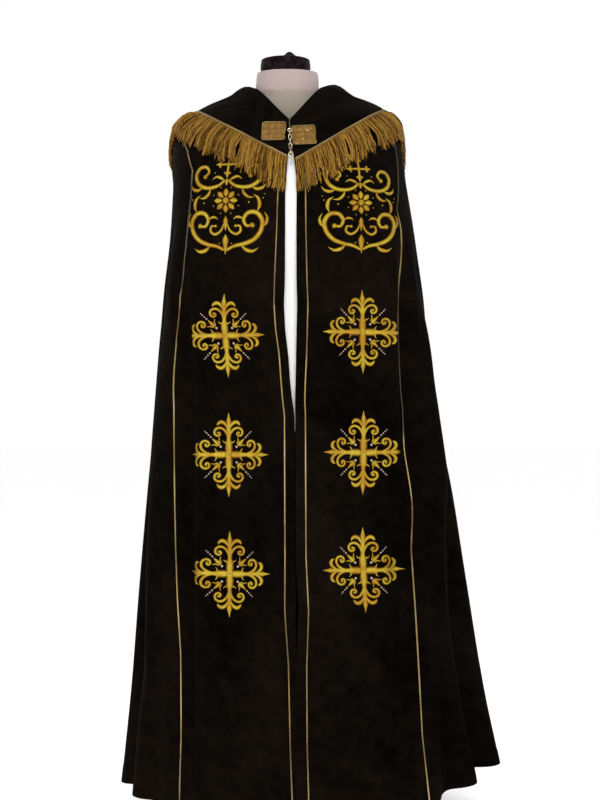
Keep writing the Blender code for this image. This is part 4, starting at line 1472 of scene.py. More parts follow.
@dataclass
class Piping:
    """One gold cord of two twisted plies, sewn over a seam from under the hood down to the hem."""

    name: str
    seam: int
    radius: float = 0.0015
    pitch: float = 0.0072
    step: float = 0.0011
    top: float = 1.322
    # Stretches where the cord is painted dark as painted shade of folds, by ring level: from, to.
    wear_and_shade: Rows = ()

    def build(self, drape: Drape) -> bpy.types.Object:
        """Each ply is a tube whose centre circles the cord's own path once for each pitch.

        Args:
            drape: the cope's outer face.

        Returns:
            The object.
        """
        fine = np.linspace(self.top, HEM, 1200)
        path = drape.point(seam_place(self.seam, fine), fine, self.radius + 2 * SEAM_GAP)
        along = length_along(path)
        level = np.interp(np.arange(0, along[-1], self.step), along, fine)
        place = seam_place(self.seam, level)
        path = drape.point(place, level, self.radius + 2 * SEAM_GAP)
        outward = drape.read(drape.normals, place, level)
        along = length_along(path)
        turn = TAU * along / self.pitch
        rings = two_plies(path, outward, turn, 0.46 * self.radius, 0.56 * self.radius)
        # tone 1 marks the stretches painted dark as painted shade of folds
        dark = np.zeros(len(level))
        for low, high in self.wear_and_shade:
            dark = np.maximum(dark, ramp((level - low) / 0.03) * ramp((high - level) / 0.03))
        uv = (shares(PLY_SIDES), along[:, None])
        return add_tubes(self.name + "_cord", rings, Finish.PIPING, [self.name], uv, dark[:, None])


def swings(
    draw: np.random.Generator, t: np.ndarray, count: int, sizes: Sequence[float], turns: Sequence[float]
) -> np.ndarray:
    """A sine along each strand, whose size and number of turns are drawn between two ends, and its start."""
    size = draw.uniform(*sizes, count)[:, None]
    return size * np.sin(TAU * (draw.uniform(*turns, count)[:, None] * t + draw.random(count)[:, None]))


@dataclass
class Fringe:
    """One run of bullion fringe: a woven heading with a pale cord on its upper edge, and hanging strands."""

    name: str
    start: float
    end: float
    seed: int
    partings: Rows
    length: float = 0.0665
    heading: float = 0.0050
    strand_pitch: float = 0.0021
    strand_radius: float = 0.00088
    lock_widths: tuple[float, float] = (0.007, 0.022)
    hidden: float = 0.0030  # how far under the heading the strands start
    rows: int = 14
    sides: int = 5
    layers: int = 3
    shoulder_lift: float = 0.0095
    shoulder_bulge: float = 0.0065

    def along_edge(self, drape: Drape) -> tuple[np.ndarray, np.ndarray]:
        """Shares along the run and how far along the hood's edge each lies.

        Args:
            drape: the cope's outer face.

        Returns:
            The shares, and the distances.
        """
        fine = np.linspace(self.start, self.end, 1600)
        line = drape.point(drape.share_place(fine), hood_edge(fine), HOOD_LIFT)
        return fine, length_along(line)

    def swept(self, drape: Drape, share: np.ndarray, down: np.ndarray, lift: np.ndarray) -> np.ndarray:
        """A profile of (down, lift) points carried along the hood's edge, one ring for each share.

        Args:
            drape: the cope's outer face.
            share: shares of the way round.
            down: how far below the edge each of the profile's points lies.
            lift: how far it stands out.

        Returns:
            The rings, shares x points x 3.
        """
        place = drape.share_place(share)[:, None]
        at = np.broadcast_to(place, (len(share), down.shape[-1]))
        below = drape.lower(at, hood_edge(share)[:, None], np.maximum(down, 0))
        step = drape.point(at, below, HOOD_LIFT + lift)
        over = np.minimum(down, 0)[..., None]
        fall = unit(drape.point(at, below - 0.004) - drape.point(at, below))
        return step + fall * over

    def braid(self, drape: Drape) -> bpy.types.Object:
        """A flat oval section, 5 mm wide and about 2 mm thick, carried along the edge and scalloped.

        Args:
            drape: the cope's outer face.

        Returns:
            The object.
        """
        fine, along = self.along_edge(drape)
        share = np.interp(np.arange(0, along[-1], 0.0016), along, fine)
        at = np.interp(share, fine, along)
        angle = TAU * shares(10)
        across = np.cos(angle)
        scallop = TAU * at[:, None] / 0.0042
        down = 0.0006 + self.heading / 2 * (1 + across)[None, :] + 0.00025 * np.sin(scallop)
        lift = WALL * 0.62 + 0.0011 * np.sin(angle)[None, :] * (1 + 0.22 * np.cos(scallop))
        rings = self.swept(drape, share, down, lift)
        return add_tubes(self.name + "_braid", rings, Finish.BRAID, uv=(across, at[:, None]))

    def edge_cord(self, drape: Drape) -> bpy.types.Object:
        """A two-lobed section that turns half round for each 5 mm along the hood's edge.

        Args:
            drape: the cope's outer face.

        Returns:
            The object.
        """
        fine, along = self.along_edge(drape)
        share = np.interp(np.arange(0, along[-1], 0.0010), along, fine)
        at = np.interp(share, fine, along)[:, None]
        angle = TAU * shares(8)
        radius = 0.00135 * (1 + 0.24 * np.cos(2 * (angle - TAU * at / 0.0100)))
        down = 0.0008 + radius * np.cos(angle)
        lift = WALL + 0.0006 + radius * np.sin(angle)
        rings = self.swept(drape, share, down, lift)
        return add_tubes(self.name + "_edge_cord", rings, Finish.PIPING, uv=(shares(8), at))

    def roots(
        self, draw: np.random.Generator, length: float
    ) -> tuple[np.ndarray, np.ndarray, np.ndarray, np.ndarray]:
        """Where the strands start: even steps in each layer, and layers set off from each other.

        Args:
            draw: where the random numbers come from.
            length: the run's length along the edge.

        Returns:
            Each strand's root along the edge and its layer from 0 to 1, the locks' middles along the edge,
            and the number of each strand's lock.
        """
        count = int(length / self.strand_pitch)
        roots = (np.arange(count) + 0.5) * length / count
        layer = np.repeat(np.arange(self.layers) / (self.layers - 1), count)
        roots = np.tile(roots, self.layers) + 0.77 * self.strand_pitch * layer
        roots = np.clip(roots + draw.normal(0, 0.0004, len(roots)), 0.0012, length - 0.0012)
        thinnest, thickest = self.lock_widths
        locks = np.cumsum(draw.uniform(thinnest, thickest, int(length / thinnest)))
        lock = np.argmin(np.abs(roots[:, None] - locks[None, :]), axis=1)
        return roots, layer, locks, lock

    def lifts(
        self, draw: np.random.Generator,
        roots: np.ndarray, share: np.ndarray, layer: np.ndarray, t: np.ndarray,
    ) -> np.ndarray:
        """How far strands stand out: from the heading's lift they fall to their layer's, over a bulge.

        Args:
            draw: where the random numbers come from.
            roots: each strand's root along the edge.
            share: each strand's share of the way round.
            layer: each strand's layer, from 0 to 1.
            t: shares of a strand's length, one for each row.

        Returns:
            The lifts, strands x rows.
        """
        beside = np.abs(share - 0.5)
        proud = self.shoulder_lift * hump((beside - 0.285) / 0.085)
        laid = (draw.uniform(0.0, 0.0024, len(roots)) + proud * draw.uniform(0.35, 1.0, len(roots)))[:, None]
        high = HOOD_LIFT + 0.0004 + 0.0014 * layer[:, None]
        low = 0.0012 + 0.0032 * layer[:, None] + laid
        lift = low + (high - low) * (1 - ramp(t / 0.8)) + 0.0005 * np.sin(9 * t + roots[:, None] * 900)
        bulge = self.shoulder_bulge * hump((beside - 0.262) / 0.060)
        bulge = (bulge * draw.uniform(0.8, 1.1, len(roots)))[:, None]
        return lift + bulge * ramp(t / 0.22) * (1 - ramp((t - 0.5) / 0.5))

    def strands(self, drape: Drape) -> bpy.types.Object:
        """Three layers of strands, which hang from the heading and gather at their ends into locks.

        Each strand's place drifts from its root by its lock's pull, times the share of its length to the
        power 1.4, plus a slow sway; partings push it aside in the middle of its length. A lock shares part
        of its length.

        Args:
            drape: the cope's outer face.

        Returns:
            The object.
        """
        draw = np.random.default_rng(self.seed)
        fine, along = self.along_edge(drape)
        roots, layer, locks, lock = self.roots(draw, along[-1])
        count = len(roots)
        t = np.linspace(0, 1, self.rows)
        pull = draw.uniform(0.0, 0.34, len(locks))[lock] * (locks[lock] - roots)
        lean = draw.normal(0, 0.0022, len(locks))[lock] + draw.normal(0, 0.0030, count)
        stretch = 1 + draw.normal(0, 0.070, len(locks))[lock] + draw.normal(0, 0.055, count)
        stretch += np.where(draw.random(count) < 0.04, -0.22, 0.0)
        sway = swings(draw, t, count, (0.0006, 0.0017), (0.8, 2.2))
        wave = swings(draw, t, count, (0.0003, 0.0011), (2.5, 5.0))
        aside = (pull + lean)[:, None] * t**1.4 + (sway + wave) * t**0.7
        for share, width in self.partings:
            away = roots - np.interp(share, fine, along)
            push = width * np.sign(away) * np.exp(-np.abs(away) / 0.010)
            aside = aside + push[:, None] * hump((t - 0.62) / 0.55)
        share = np.interp(roots, along, fine)
        place = drape.share_place(share)[:, None]
        edge = hood_edge(share)[:, None]
        down = self.hidden + t * (self.length * stretch - self.hidden)[:, None]
        level = drape.lower(np.broadcast_to(place, down.shape), edge, down)
        at = drape.sideways(place, level, aside)
        path = drape.point(at, level, self.lifts(draw, roots, share, layer, t))
        outward = drape.read(drape.normals, at, level)
        radius = self.strand_radius * np.interp(t, (0, 0.1, 0.3, 0.9, 1), (0.7, 1, 1.04, 0.98, 0.55))
        radius = radius * draw.uniform(0.82, 1.12, count)[:, None]
        rings = tube_rings(path, outward, radius, self.sides)
        tone = np.clip(draw.normal(0.50, 0.34, count) + 0.08 * draw.normal(0, 1, len(locks))[lock], 0, 1)
        # painted shade: strands of the layers nearer the cloth, under the others, are darker
        tone = (tone[:, None] + 0.14 * t - 0.34 * (1 - layer)[:, None])[..., None]
        uv = (shares(self.sides), (down + roots[:, None])[..., None])
        return add_tubes(self.name + "_strands", rings, Finish.FRINGE, [self.name], uv, tone)

    def build(self, drape: Drape) -> None:
        """Builds the heading, its cord and the strands.

        Args:
            drape: the cope's outer face.
        """
        self.braid(drape)
        self.edge_cord(drape)
        self.strands(drape)


# ---------------------------------------------------------------- embroidery


class Motif:
    """Raised embroidery drawn flat, in metres from its middle, and laid on the cloth as one piece.

    Everything in it is a closed tube: a ribbon's section is a lens over a flat foot, and a ball is a
    short tube whose rings follow a half circle.
    """

    LENS = np.array([(-1.0, 0.0), (-0.72, 0.66), (0.0, 1.0), (0.72, 0.66), (1.0, 0.0), (0.0, -0.25)])

    def __init__(self, seed: int, bold: float) -> None:
        """Starts an empty motif, whose small unevenness comes from the seed.

        Args:
            seed: the seed.
            bold: the ribbons' width as laid, as a share of the width as drawn.
        """
        self.flat: list[np.ndarray] = []
        self.lift: list[np.ndarray] = []
        self.uv: list[np.ndarray] = []
        self.tone: list[np.ndarray] = []
        self.faces: list[np.ndarray] = []
        self.count = 0
        self.draw = np.random.default_rng(seed)
        self.bold = bold

    def keep(self, flat: np.ndarray, lift: np.ndarray, uv: np.ndarray, tone: float) -> None:
        """Adds one tube of rows x sides points.

        Args:
            flat: the points in the motif's plane, rows x sides x 2.
            lift: how far each stands out of the cloth.
            uv: two numbers for each.
            tone: the tube's tone, which the hand varies a little.
        """
        rows, sides = lift.shape
        self.faces += [f + self.count for f in tube_faces(1, rows, sides)]
        self.flat.append(flat.reshape(-1, 2))
        self.lift.append(lift.ravel())
        self.uv.append(uv.reshape(-1, 2))
        self.tone.append(np.full(rows * sides, np.maximum(tone + self.draw.normal(0, 0.06), 0)))
        self.count += rows * sides

    def ribbon(self, knots: Any, half_widths: Any, height: float, tone: float, steps: int = 4) -> None:
        """A raised ribbon along a smooth curve.

        Args:
            knots: the curve's points, n x 2.
            half_widths: the half width at each of them.
            height: how far its middle stands up.
            tone: 0 for yellow gold, 1 for orange.
            steps: how many sections lie between two knots.
        """
        knots, half_widths = np.asarray(knots, float), np.asarray(half_widths, float) * self.bold
        along = length_along(knots)
        at = np.interp(np.arange((len(knots) - 1) * steps + 1) / steps, np.arange(len(knots)), along)
        path = np.stack([smooth(along, knots[:, 0], at), smooth(along, knots[:, 1], at)], axis=-1)
        width = np.maximum(smooth(along, half_widths, at), 0.00018)
        ahead = unit(np.gradient(path, axis=0))
        left = np.stack([-ahead[:, 1], ahead[:, 0]], axis=-1)
        side, rise = self.LENS.T
        flat = path[:, None] + left[:, None] * (width[:, None] * side)[..., None]
        full = height * np.clip(width / (0.6 * half_widths.max()), 0.25, 1)
        lift = full[:, None] * rise
        uv = np.stack(np.broadcast_arrays(side, at[:, None]), axis=-1)
        self.keep(flat[:, ::-1], lift[:, ::-1], uv[:, ::-1], tone)

    def ball(
        self, centre: Sequence[float], radius: float, height: float, tone: float, sides: int = 10
    ) -> None:
        """A low dome of six rings: a ring's radius is radius sin a, and its height is height cos a.

        Args:
            centre: its middle in the motif's plane.
            radius: its radius.
            height: its height.
            tone: 0 for yellow gold, 1 for orange, BEAD_TONE for a pale bead.
            sides: how many points a ring has.
        """
        angle = np.array([0.08, 0.45, 0.85, 1.25, 1.62, 1.9])[:, None]
        around = TAU * shares(sides)
        reach = radius * np.sin(angle)
        flat = np.asarray(centre) + np.stack([reach * np.cos(around), reach * np.sin(around)], axis=-1)
        lift = np.broadcast_to(height * np.cos(angle), flat.shape[:2])
        uv = np.stack(np.broadcast_arrays(reach / radius, radius * np.sin(around)), axis=-1)
        self.keep(flat[::-1], lift[::-1], uv[::-1], tone)

    def turned(self, degrees: float, draw: Callable[[Callable[[Any], np.ndarray]], None]) -> None:
        """Calls draw with a function that turns and slightly shifts points, as the hand does.

        Args:
            degrees: the turn, anticlockwise.
            draw: draws with the function that it is given.
        """
        angle = math.radians(degrees + self.draw.normal(0, 0.7))
        size = 1 + self.draw.normal(0, 0.010)
        c, s = math.cos(angle), math.sin(angle)
        turn = size * np.array([[c, s], [-s, c]])
        draw(lambda knots: np.asarray(knots, float) @ turn)

    def lay(
        self, name: str, drape: Drape, place: float, height: float,
        scale: tuple[float, float], lean: float = 0.0,
    ) -> bpy.types.Object:
        """Lays the motif on the cloth with its middle at (place, height).

        It's scaled across and along, and x becomes x + lean * x * x, which widens one side of it.

        Args:
            name: the piece's name.
            drape: the cope's outer face.
            place: the middle's place.
            height: the middle's height above the floor.
            scale: across and along.
            lean: what x gains, as a share of itself for each metre of x.

        Returns:
            The object.
        """
        flat = np.concatenate(self.flat) * scale
        flat[:, 0] += lean * flat[:, 0] ** 2
        points = drape.onto(place, height, flat, np.concatenate(self.lift))
        uv = np.concatenate(self.uv)
        return add_piece(name, points, self.faces, Finish.STITCH, (), uv, np.concatenate(self.tone), 75.0)


# How much wider a cross's outer arm is drawn than its mean arm, and its inner arm narrower.
CROSS_LEAN = 0.085


@dataclass(frozen=True)
class Stroke:
    """One ribbon of a motif: its knots and half widths in the motif's units, and its height in mm."""

    knots: Rows
    widths: tuple[float, ...]
    height: float
    tone: float
    steps: int = 4

    def draw(self, motif: Motif, put: Callable[[Any], np.ndarray], size: float, side: int = 1) -> None:
        """Draws it in units of `size` metres, mirrored to a side, where `put` moves its knots."""
        knots = np.array(self.knots, float) * (side * size, size)
        motif.ribbon(put(knots), size * np.array(self.widths), self.height * MM, self.tone, self.steps)


CROSS_SIDE = (
    Stroke(((2.2, 11.2), (3.6, 12.3), (5.0, 12.8), (6.4, 14.2)), (0.9, 0.75, 0.5, 0.12), 1.0, 0.15),
    Stroke(
        (
            (0.9, 17.2), (2.2, 21.6), (4.6, 25.2), (8.4, 27.0), (12.2, 26.0),
            (13.9, 22.8), (12.8, 19.8), (10.0, 19.0), (8.3, 21.0), (9.3, 22.9),
        ),
        (0.5, 1.05, 1.25, 1.25, 1.25, 1.2, 1.15, 1.1, 1.0, 0.7), 1.9, 0.30,
    ),
    Stroke(
        ((0.7, 24.2), (1.9, 28.4), (4.2, 31.6), (7.4, 32.9), (10.4, 31.2), (11.4, 29.2)),
        (0.4, 1.1, 1.6, 1.75, 1.25, 0.25), 1.7, 0.24,
    ),
)
BUD_STEM = Stroke(((0, 12.6), (0, 15.5), (0, 19.5), (0, 22.4)), (0.7, 1.9, 1.0, 0.35), 1.4, 0.40)
TENDRIL = Stroke(
    ((0.4, 13.2), (2.2, 14.4), (3.0, 16.6), (4.6, 17.6), (6.0, 19.0)), (0.5, 0.6, 0.55, 0.45, 0.15), 0.9, 0.30
)
CROSS_MIDDLE = Stroke(((0, -3.3), (0, -1.2), (0, 1.2), (0, 3.3)), (2.9, 3.4, 3.4, 2.9), 2.2, 0.50)
BUD_BEADS = ((24.4, 0.95), (27.2, 0.85), (30.0, 0.80), (32.2, 0.65))


@dataclass
class FleuryCross:
    """A cross whose four arms end in a spear between two pairs of curled leaves, with beaded buds between."""

    name: str
    place: float
    height: float
    seed: int
    reach: float = 0.0815
    unit: float = 0.00192

    def arm(self, motif: Motif, put: Callable[[Any], np.ndarray], upright: bool) -> None:
        """One arm along +y, in units of about 2 mm: bar, spear, and on both sides spur, scroll and leaf.

        Args:
            motif: the motif that it is added to.
            put: turns and shifts points.
            upright: whether the arm is one of the two upright ones.
        """
        u = self.unit
        bar_tone, spear_tone = (0.82, 0.45) if upright else (0.40, 0.25)
        bar = ((0, 3.0), (0, 5.5), (0, 9.0), (0, 13.0))
        Stroke(bar, (2.7, 3.1, 3.0, 3.2), 1.7, bar_tone, 5).draw(motif, put, u)
        spear = [(0, y) for y in (12.4, 15.0, 18.5, 22.0, 26.0, 30.0, 34.0, 37.0, self.reach / u)]
        Stroke(spear, (2.7, 1.9, 2.0, 2.5, 2.1, 1.8, 2.2, 1.35, 0.10), 1.9, spear_tone).draw(motif, put, u)
        spur, scroll, leaf = CROSS_SIDE
        for side in (-1, 1):
            spur.draw(motif, put, u, side)
            scroll.draw(motif, put, u, side)
            motif.ball(put(np.array((10.2 * side, 22.0)) * u), 1.75 * u, 2.1 * MM, 0.20)
            leaf.draw(motif, put, u, side)

    def bud(self, motif: Motif, put: Callable[[Any], np.ndarray]) -> None:
        """One bud along +y between two arms: a bead, a stem, a bracket of two tendrils and four beads.

        Args:
            motif: the motif that it is added to.
            put: turns and shifts points.
        """
        u = self.unit
        motif.ball(put(np.array((0, 11.0)) * u), 1.25 * u, 1.3 * MM, BEAD_TONE, 8)
        BUD_STEM.draw(motif, put, u)
        for side in (-1, 1):
            TENDRIL.draw(motif, put, u, side)
        for y, radius in BUD_BEADS:
            motif.ball(put(np.array((0, y)) * u), radius * u, 1.1 * MM, BEAD_TONE, 8)

    def build(self, drape: Drape) -> bpy.types.Object:
        """Draws the four arms, the four buds and the middle block, and lays them on the cloth.

        Args:
            drape: the cope's outer face.

        Returns:
            The object.
        """
        motif = Motif(self.seed, 1.22)
        u = self.unit
        for quarter in range(4):
            motif.turned(90 * quarter, lambda put, upright=quarter % 2 == 0: self.arm(motif, put, upright))
            motif.turned(45 + 90 * quarter, lambda put: self.bud(motif, put))
        CROSS_MIDDLE.draw(motif, np.asarray, u)
        motif.ball((0.0, 0.0), 1.5 * u, 2.9 * MM, 0.15, 10)
        lean = (-CROSS_LEAN if "left" in self.name else CROSS_LEAN) / self.reach
        return motif.lay(self.name, drape, self.place, self.height, (1.02, 0.985), lean)


# The right half of each medallion, in mm from its middle: knots, thickness and tone.
SCROLLS = (
    (
        (
            (3, -97), (16, -90), (34, -86), (56, -76), (70, -58), (72, -38),
            (60, -24), (44, -25), (36, -38), (42, -50), (53, -49),
        ),
        4.2, 0.35,
    ),
    (
        ((4, 40), (14, 31), (30, 26), (50, 28), (64, 38), (69, 53), (61, 66), (47, 67), (40, 57), (47, 48)),
        3.8, 0.30,
    ),
    (((3, -46), (10, -60), (22, -66), (30, -60), (28, -50), (20, -50)), 2.6, 0.55),
)
SIDE_LEAVES = (
    (((30, -86), (40, -96), (54, -99), (66, -92)), 3.4, 0.45),
    (((70, -52), (79, -46), (82, -34), (76, -22)), 3.0, 0.40),
    (((62, -23), (67, -10), (64, 4), (54, 12)), 3.4, 0.30),
    (((50, 27), (62, 22), (73, 25), (80, 34)), 3.2, 0.35),
    (((32, 26), (36, 14), (46, 6), (58, 6)), 2.8, 0.45),
    (((4, 38), (12, 44), (22, 47), (31, 41)), 2.6, 0.50),
    (((36, -38), (28, -33), (21, -33), (15, -38)), 2.4, 0.45),
)
MIDDLE_LEAVES = (
    (((0, -30), (0, -38), (0, -48), (0, -60)), 4.0, 0.35),
    (((0, -66), (0, -76), (0, -88), (0, -106)), 5.2, 0.30),
    (((0, 29), (0, 34), (0, 39), (0, 45)), 3.2, 0.40),
)
SEEDS = ((46, -4, 2.2), (28, 44, 1.9), (26, 55, 1.6), (12, -84, 1.9), (74, 4, 1.8), (77, 12, 1.5))


@dataclass
class ScrollMedallion:
    """The ornament at the top of each orphrey: a rosette between pairs of scrolls, under a small cross."""

    name: str
    place: float
    height: float
    seed: int
    tall: float

    def scroll(self, motif: Motif, side: int, knots: Rows, thick: float, tone: float) -> None:
        """A scroll that thickens to its middle and ends in a ball, mirrored to one side.

        Args:
            motif: the motif that it is added to.
            side: 1, or -1 to mirror it.
            knots: its points in mm, from its root.
            thick: its half width in mm at the middle.
            tone: 0 for yellow gold, 1 for orange.
        """
        share = np.linspace(0, 1, len(knots))
        widths = thick * (0.35 + 0.65 * np.sin(math.pi * (0.12 + 0.80 * share)))
        Stroke(knots, widths, 2.1, tone, 5).draw(motif, np.asarray, MM, side)
        end = np.array(knots[-1], float) * (side * MM, MM)
        motif.ball(end, 1.35 * thick * MM, 2.4 * MM, tone - 0.15, 12)

    def leaf(self, motif: Motif, side: int, knots: Rows, thick: float, tone: float) -> None:
        """A pointed leaf, widest a third of the way along.

        Args:
            motif: the motif that it is added to.
            side: 1, or -1 to mirror it.
            knots: its points in mm, from its root.
            thick: its half width in mm at the widest.
            tone: 0 for yellow gold, 1 for orange.
        """
        share = np.linspace(0, 1, len(knots))
        widths = thick * np.sin(math.pi * share**0.8) ** 0.8
        Stroke(knots, widths, 1.9, tone, 5).draw(motif, np.asarray, MM, side)

    def rosette(self, motif: Motif) -> None:
        """Eight lens-shaped petals round a ball, each drawn along +y and turned.

        Args:
            motif: the motif that it is added to.
        """
        for k in range(8):
            petal = np.array([(0, 8.0), (0, 13.0), (0, 18.0), (0, 24.0)]) * MM
            motif.turned(
                45 * k,
                lambda put, k=k: motif.ribbon(
                    put(petal), np.array([1.2, 4.3, 4.6, 0.3]) * MM, 2.0 * MM, 0.25 + 0.5 * (k % 2), 4
                ),
            )
        motif.ball((0.0, 0.0), 8.0 * MM, 3.0 * MM, 0.20, 16)
        for k in range(8):
            angle = TAU * (k + 0.5) / 8
            motif.ball(27.5 * MM * np.array([math.cos(angle), math.sin(angle)]), 1.7 * MM, 1.5 * MM, 0.3, 8)

    def small_cross(self, motif: Motif) -> None:
        """Four short arms with three-lobed ends about a ball, above the rosette.

        Args:
            motif: the motif that it is added to.
        """
        middle = np.array((0.0, 71.0)) * MM
        for k in range(4):

            def arm(put: Callable[[Any], np.ndarray], k: int = k) -> None:
                """One arm: a tapered bar, two round lobes and a point."""
                bar = np.array([(0, 3.0), (0, 9.0), (0, 16.0)]) * MM
                motif.ribbon(middle + put(bar), np.array([2.4, 2.0, 2.6]) * MM, 1.8 * MM, 0.3 + 0.4 * (k % 2))
                for side in (-1, 1):
                    motif.ball(middle + put(np.array((4.6 * side, 17.2)) * MM), 3.0 * MM, 2.0 * MM, 0.2)
                point = np.array([(0, 15.5), (0, 20.0), (0, 27.0)]) * MM
                motif.ribbon(middle + put(point), np.array([2.8, 3.2, 0.2]) * MM, 1.9 * MM, 0.25)

            motif.turned(90 * k, arm)
        motif.ball(middle, 4.2 * MM, 2.6 * MM, 0.15, 12)

    def build(self, drape: Drape) -> bpy.types.Object:
        """Draws every part, the same on both sides of the middle line, and lays them on the cloth.

        Args:
            drape: the cope's outer face.

        Returns:
            The object.
        """
        motif = Motif(self.seed, 1.25)
        self.rosette(motif)
        self.small_cross(motif)
        for side in (-1, 1):
            for knots, thick, tone in SCROLLS:
                self.scroll(motif, side, knots, thick, tone)
            for knots, thick, tone in SIDE_LEAVES:
                self.leaf(motif, side, knots, thick, tone)
            for x, y, radius in SEEDS:
                motif.ball(np.array((side * x, y)) * MM, radius * MM, 1.7 * MM, 0.25, 8)
        for knots, thick, tone in MIDDLE_LEAVES:
            self.leaf(motif, 1, knots, thick, tone)
        return motif.lay(self.name, drape, self.place, self.height, (0.98, self.tall))


# ---------------------------------------------------------------- plates and clasp


@dataclass
class MorsePlate:
    """A stiff brocade plate on the hood beside the opening: a low pillow with a twisted cord round it."""

    name: str
    x: float
    level: float
    slant: float
    width: float = 0.0445
    height: float = 0.0415
    depth: float = 0.0020
    clearance: float = 0.0022
    cord: float = 0.0011
    pitch: float = 0.0060

    def frame(self, drape: Drape) -> tuple[np.ndarray, np.ndarray, np.ndarray, np.ndarray]:
        """The plate's middle on the hood, and its directions right, up and out.

        Args:
            drape: the cope's outer face.

        Returns:
            The middle, right, up and out.
        """
        places = np.concatenate([np.linspace(0, 2, 2000), np.linspace(3, 5, 2000)])
        place = places[np.argmin(np.abs(drape.point(places, self.level)[:, 0] - self.x))]
        outward = drape.read(drape.normals, place, self.level)
        right = unit(np.cross(outward, (0.0, 0.0, -1.0)))
        up = np.cross(outward, right)
        up = up if up[2] > 0 else -up
        right = right if right[0] > 0 else -right
        c, s = math.cos(self.slant), math.sin(self.slant)
        right, up = right * c + up * s, up * c - right * s
        middle = drape.point(place, self.level, HOOD_LIFT + WALL + self.clearance)
        return middle, right, up, outward

    def build(self, drape: Drape) -> None:
        """Builds the face and the cord.

        Args:
            drape: the cope's outer face.
        """
        frame = self.frame(drape)
        self.face(*frame)
        self.border(*frame)

    def face(self, middle: np.ndarray, right: np.ndarray, up: np.ndarray, outward: np.ndarray) -> None:
        """A closed pillow whose front rises by ((1 - u^4)(1 - v^4))^0.35, with slightly drawn-in corners.

        Args:
            middle: the plate's middle.
            right: its direction to the right.
            up: its direction upwards.
            outward: its direction out of the hood.
        """
        v, u = np.meshgrid(np.linspace(-1, 1, 34), np.linspace(-1, 1, 40), indexing="ij")
        corner = 1 - 0.035 * (u * v) ** 2
        x, y = u * corner * self.width / 2, v * corner * self.height / 2
        pillow = ((1 - u**4) * (1 - v**4)) ** 0.35
        rise = self.depth * (0.35 + 0.65 * pillow)
        front = middle + x[..., None] * right + y[..., None] * up + rise[..., None] * outward
        back = middle + x[..., None] * right + y[..., None] * up - 0.0006 * outward
        points, faces = shell(front, back)
        uv = np.tile(np.stack([x, y], axis=-1).reshape(-1, 2), (2, 1))
        add_piece(self.name + "_brocade", points, faces, Finish.BROCADE, [self.name], uv)

    def border(self, middle: np.ndarray, right: np.ndarray, up: np.ndarray, outward: np.ndarray) -> None:
        """A cord of two plies along a rounded rectangle: the 0.16th powers of cosine and sine.

        Args:
            middle: the plate's middle.
            right: its direction to the right.
            up: its direction upwards.
            outward: its direction out of the hood.
        """
        angle = np.linspace(0, TAU, 181)[:-1]
        c, s = np.cos(angle), np.sin(angle)
        x = self.width / 2 * signed_power(c, 0.16)
        y = self.height / 2 * signed_power(s, 0.16)
        path = middle + x[:, None] * right + y[:, None] * up + 0.0010 * outward
        along = length_along(path)
        even = np.linspace(0, along[-1], 260)
        path = np.stack([np.interp(even, along, path[:, axis]) for axis in range(3)], axis=-1)
        turn = TAU * even / self.pitch
        rings = two_plies(path, outward, turn, 0.45 * self.cord, 0.62 * self.cord)
        add_tubes(self.name + "_border", rings, Finish.PIPING, uv=(shares(PLY_SIDES), even[:, None]))


@dataclass
class Link:
    """One oval link of wire in the fastening, turned about the vertical."""

    name: str
    x: float
    half_width: float
    half_height: float
    wire: float
    turn: float
    y: float = -0.1640
    steps: int = 40
    sides: int = 10

    def build(self, z: float) -> None:
        """A closed loop of wire: an ellipse for its path, a little flattened at the sides.

        Args:
            z: the height of the link's middle.
        """
        around = TAU * np.arange(self.steps + 1) / self.steps
        across = (self.half_width - self.wire) * signed_power(np.cos(around), 0.85)
        upward = (self.half_height - self.wire) * np.sin(around)
        turn = math.radians(self.turn)
        side = np.array([math.cos(turn), math.sin(turn), 0.0])
        depth = np.array([-math.sin(turn), math.cos(turn), 0.0])
        path = np.array([self.x, self.y, z]) + across[:, None] * side + upward[:, None] * (0.0, 0.0, 1.0)
        ahead = unit(np.roll(path[:-1], -1, axis=0) - np.roll(path[:-1], 1, axis=0))
        aside = np.cross(depth, ahead)
        angle = (TAU * shares(self.sides))[None, :, None]
        rings = path[:-1, None] + self.wire * (np.cos(angle) * aside[:, None] + np.sin(angle) * depth)
        index = np.arange(self.steps * self.sides).reshape(self.steps, self.sides)
        after = np.roll(index, -1, axis=0)
        faces = np.stack([index, np.roll(index, -1, axis=1), np.roll(after, -1, axis=1), after], axis=-1)
        add_piece(self.name + "_wire", rings.reshape(-1, 3), [faces.reshape(-1, 4)], Finish.WIRE, [self.name])


@dataclass
class Clasp:
    """The hook, the eye, the chain, its ring and its drop, each hung in the one before it."""

    top: float = 1.3655
    gap: float = 0.0007
    links: tuple[Link, ...] = (
        Link("clasp_hook", 0.0022, 0.0044, 0.0036, 0.0008, 0.0),
        Link("clasp_eye", 0.0026, 0.0036, 0.0056, 0.0008, 90.0),
        Link("chain_link_1", 0.0030, 0.0034, 0.0060, 0.0007, 0.0),
        Link("chain_link_2", 0.0034, 0.0034, 0.0060, 0.0007, 90.0),
        Link("chain_link_3", 0.0038, 0.0034, 0.0060, 0.0007, 0.0),
        Link("chain_link_4", 0.0042, 0.0034, 0.0060, 0.0007, 90.0),
        Link("chain_ring", 0.0046, 0.0053, 0.0085, 0.0009, 0.0),
        Link("chain_drop", 0.0050, 0.0034, 0.0066, 0.0008, 90.0),
    )

    def build(self) -> None:
        """Hangs each link a small gap below the wire of the one before."""
        z = self.top
        held = None
        for link in self.links:
            if held is not None:
                z = held + link.wire + self.gap - (link.half_height - link.wire)
            link.build(z)
            held = z - link.half_height + 2 * link.wire


# ---------------------------------------------------------------- form, stand and studio


